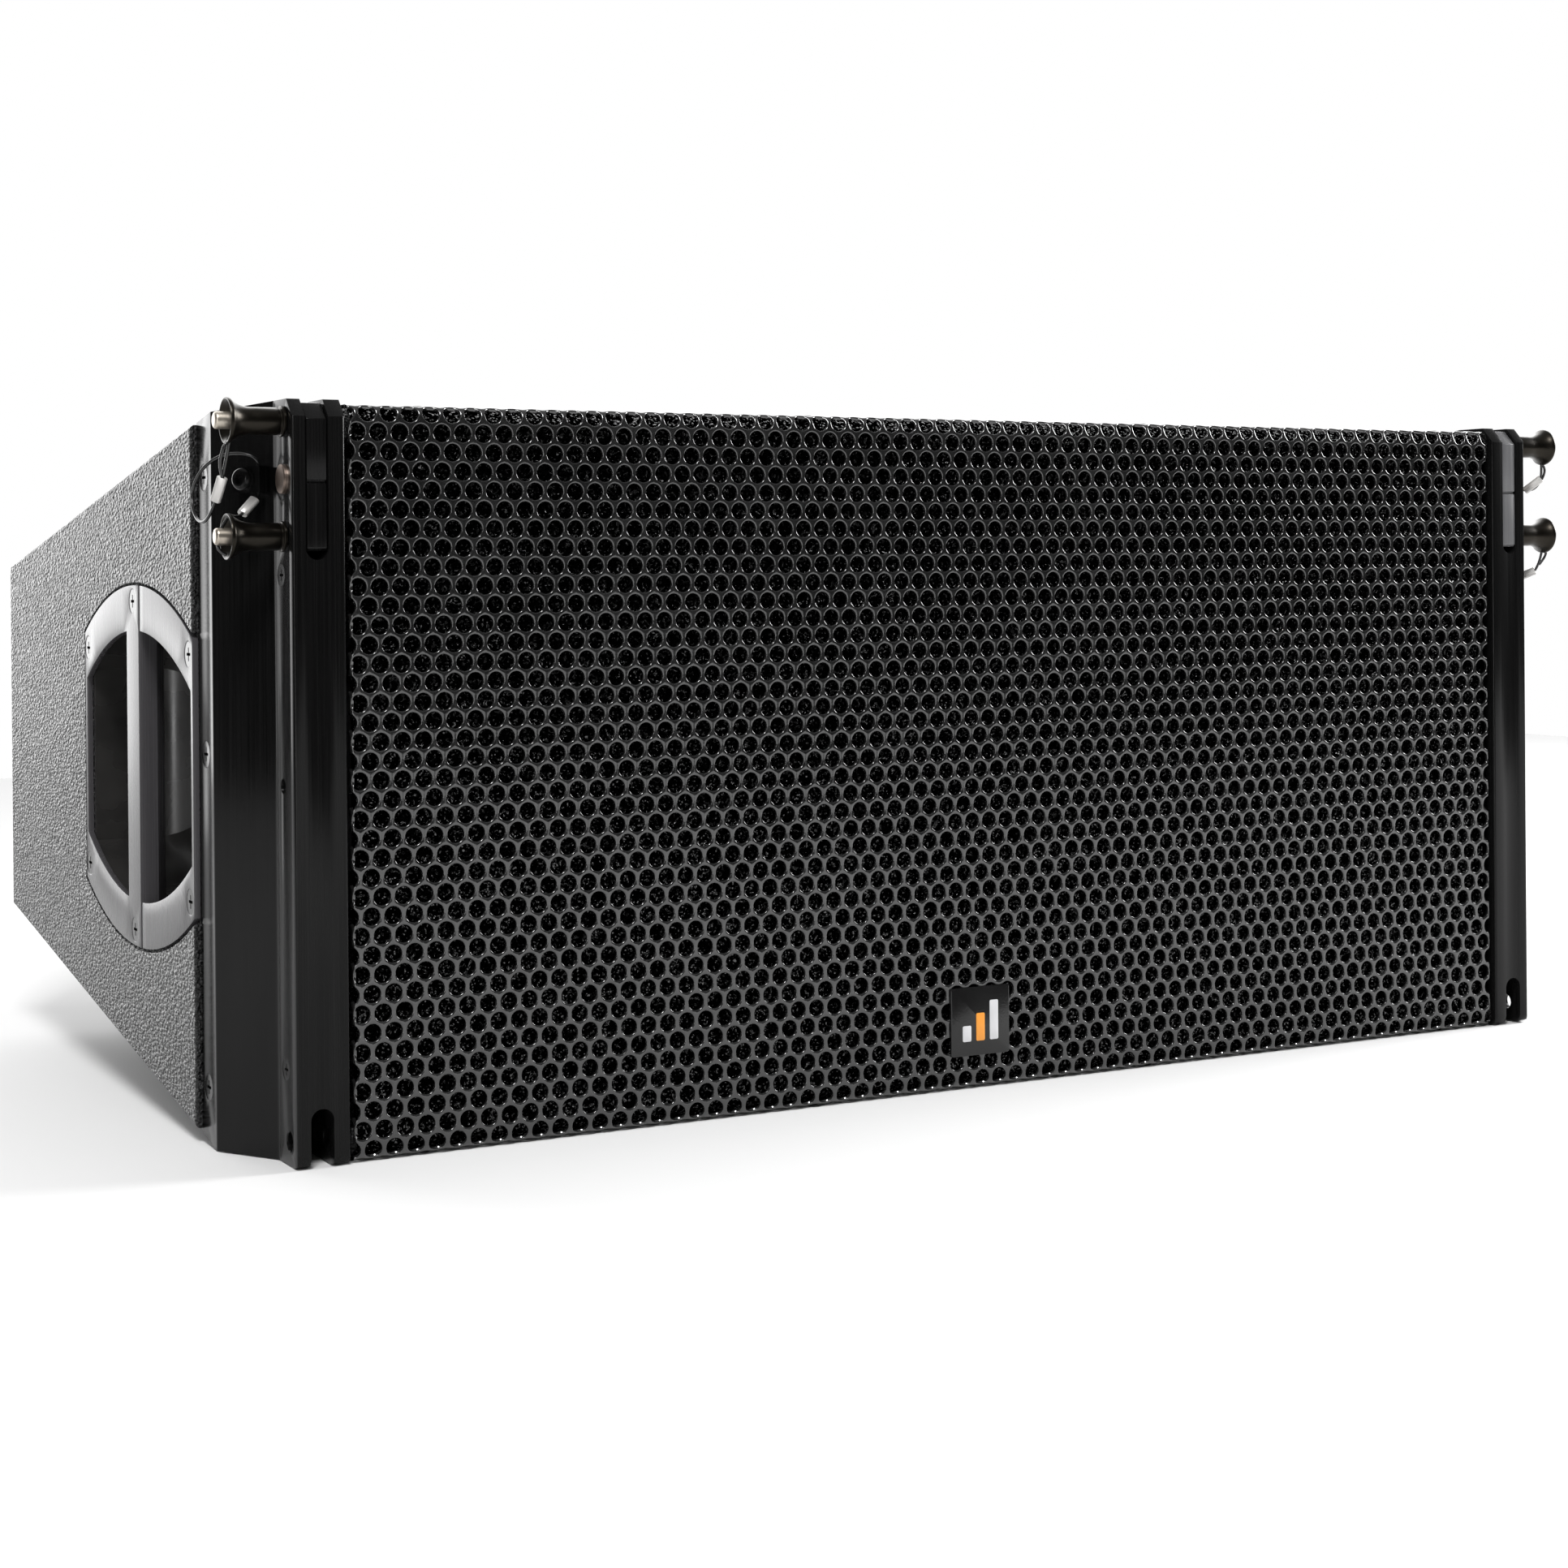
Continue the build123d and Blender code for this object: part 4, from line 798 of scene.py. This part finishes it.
def wire_line(piece):
    """Points along a wire's centreline, with the distance of each from its start."""
    bare = piece.copy()
    bare.data = piece.data.copy()
    bare.data.bevel_depth = 0.0
    scene.collection.objects.link(bare)
    bpy.context.view_layer.update()
    mesh = bpy.data.meshes.new_from_object(bare)
    points = [v.co.copy() for v in mesh.vertices]
    bpy.data.objects.remove(bare)
    bpy.data.meshes.remove(mesh)
    runs = [0.0]
    for before, here in zip(points, points[1:]):
        runs.append(runs[-1] + (here - before).length)
    return points, runs


def point_on(points, runs, distance):
    for i in range(1, len(runs)):
        if runs[i] >= distance:
            share = (distance - runs[i - 1]) / (runs[i] - runs[i - 1])
            return points[i - 1].lerp(points[i], share)
    return points[-1].copy()


def make_ferrule(name, points, runs, start):
    """Crimped sleeve on a wire: an oval tube pressed flat on two sides, with rounded ends."""
    first = point_on(points, runs, start * MM)
    last = point_on(points, runs, (start + FERRULE_LENGTH) * MM)
    along = (last - first).normalized()
    middle = (first + last) / 2
    across = along.cross(Vector((0.5, 0.87, 0.0))).normalized()
    third = along.cross(across)
    half = FERRULE_LENGTH / 2
    stations = [(-half, 0.0), (-half, 0.84), (-half + 0.3, 1.0), (half - 0.3, 1.0), (half, 0.84), (half, 0.0)]
    steps = 28
    work = bmesh.new()
    rings = []
    for station, size in stations:
        ring = []
        for k in range(steps):
            angle = 2 * math.pi * k / steps
            wide = math.copysign(abs(math.cos(angle)) ** 0.75, math.cos(angle)) * FERRULE_WIDE
            deep = math.copysign(abs(math.sin(angle)) ** 0.75, math.sin(angle)) * FERRULE_DEEP
            spot = middle + (along * station + (across * wide + third * deep) * size) * MM
            ring.append(work.verts.new(spot))
        rings.append(ring)
    for one, two in zip(rings, rings[1:]):
        strip_between(work, one, two)
    bmesh.ops.remove_doubles(work, verts=work.verts, dist=1e-7)
    return built(name, work, 40.0)


def make_lug_loops():
    """Short loops of wire through the lugs' gaps, where the lanyards hook in."""
    for side_name, side in SIDES.items():
        route = [(side * x, depth, z) for x, depth, z in LUG_LOOP]
        loop = wire(f"lug_loop_{side_name}", route, WIRE)
        finished(loop, "cabinet", "lanyard_black")


def make_lanyards():
    for name, route in ROUTES.items():
        body = node_body[name]
        cord = wire(name + "_wire", route, WIRE)
        finished(cord, body, "lanyard_black", replaces=[name])
        points, runs = wire_line(cord)
        ferrule = make_ferrule(name + "_ferrule", points, runs, FERRULES[name])
        finished(ferrule, body, "lanyard_black", "ferrule_metal")
        eye = wire(name + "_eye", EYES[name], WIRE)
        finished(eye, body, "lanyard_black")


make_lanyards()
make_lug_loops()


# ---- studio ----
ROOM_DARK, BACKDROP, CEILING = 0.02, 3.6, 0.45
BACKDROP_WAY = (0.25, 0.95, 0.15)            # direction of the middle of the bright backdrop


def make_world():
    """Pale studio: a bright backdrop behind the object, a lit ceiling, and a dim room behind the camera."""
    world = bpy.data.worlds.new("studio")
    scene.world = world
    world.use_nodes = True
    tree = world.node_tree
    tree.nodes.clear()
    coords = tree.nodes.new("ShaderNodeTexCoord")
    levels = []
    for way, low, high, dim, bright in (
        (BACKDROP_WAY, 0.55, 0.80, ROOM_DARK, BACKDROP),
        ((0, 0, 1), 0.45, 0.95, 0.0, CEILING),
    ):
        facing = tree.nodes.new("ShaderNodeVectorMath")
        facing.operation = "DOT_PRODUCT"
        facing.inputs[1].default_value = Vector(way).normalized()
        tree.links.new(coords.outputs["Generated"], facing.inputs[0])
        levels.append(remap(tree, facing.outputs["Value"], low, high, dim, bright))
    room = tree.nodes.new("ShaderNodeBackground")
    room.inputs["Color"].default_value = (1, 1, 1, 1)
    tree.links.new(calculate(tree, "ADD", *levels), room.inputs["Strength"])
    seen = tree.nodes.new("ShaderNodeBackground")
    seen.inputs["Color"].default_value = (1, 1, 1, 1)
    path = tree.nodes.new("ShaderNodeLightPath")
    mix = tree.nodes.new("ShaderNodeMixShader")
    output = tree.nodes.new("ShaderNodeOutputWorld")
    tree.links.new(path.outputs["Is Camera Ray"], mix.inputs[0])
    tree.links.new(room.outputs[0], mix.inputs[1])
    tree.links.new(seen.outputs[0], mix.inputs[2])
    tree.links.new(mix.outputs[0], output.inputs[0])


def softbox(name, place, target, width, height, power):
    lamp = bpy.data.lights.new(name, "AREA")
    lamp.shape = "RECTANGLE"
    lamp.size = width
    lamp.size_y = height
    lamp.energy = power
    made = bpy.data.objects.new(name, lamp)
    scene.collection.objects.link(made)
    made.location = place
    made.rotation_euler = (Vector(target) - Vector(place)).to_track_quat("-Z", "Y").to_euler()


FLOOR_HALF, FLOOR_GAP = 2.2, 0.0005          # metres


def make_floor():
    mesh = bpy.data.meshes.new("floor")
    level = cad_low.z - FLOOR_GAP
    corners = [(x * FLOOR_HALF, y * FLOOR_HALF, level) for x, y in ((-1, -1), (1, -1), (1, 1), (-1, 1))]
    mesh.from_pydata(corners, [], [(0, 1, 2, 3)])
    floor = new_object("floor", mesh)
    mesh.materials.append(new_material("floor_paper", (0.74, 0.74, 0.74), 0.9))


make_world()
softbox("right_box", (2.3, -0.4, 1.1), (0.0, -0.2, 0.17), 1.2, 0.8, 90.0)
softbox("overhead_box", (-0.95, -1.5, 2.1), (0.0, -0.2, 0.17), 0.7, 0.5, 50.0)
softbox("left_strip", (-2.0, -2.1, 0.5), (-0.2, -0.2, 0.17), 0.25, 1.3, 16.0)
make_floor()
scene.view_settings.view_transform = "Standard"

# ---- scene update ----
bpy.context.view_layer.update()
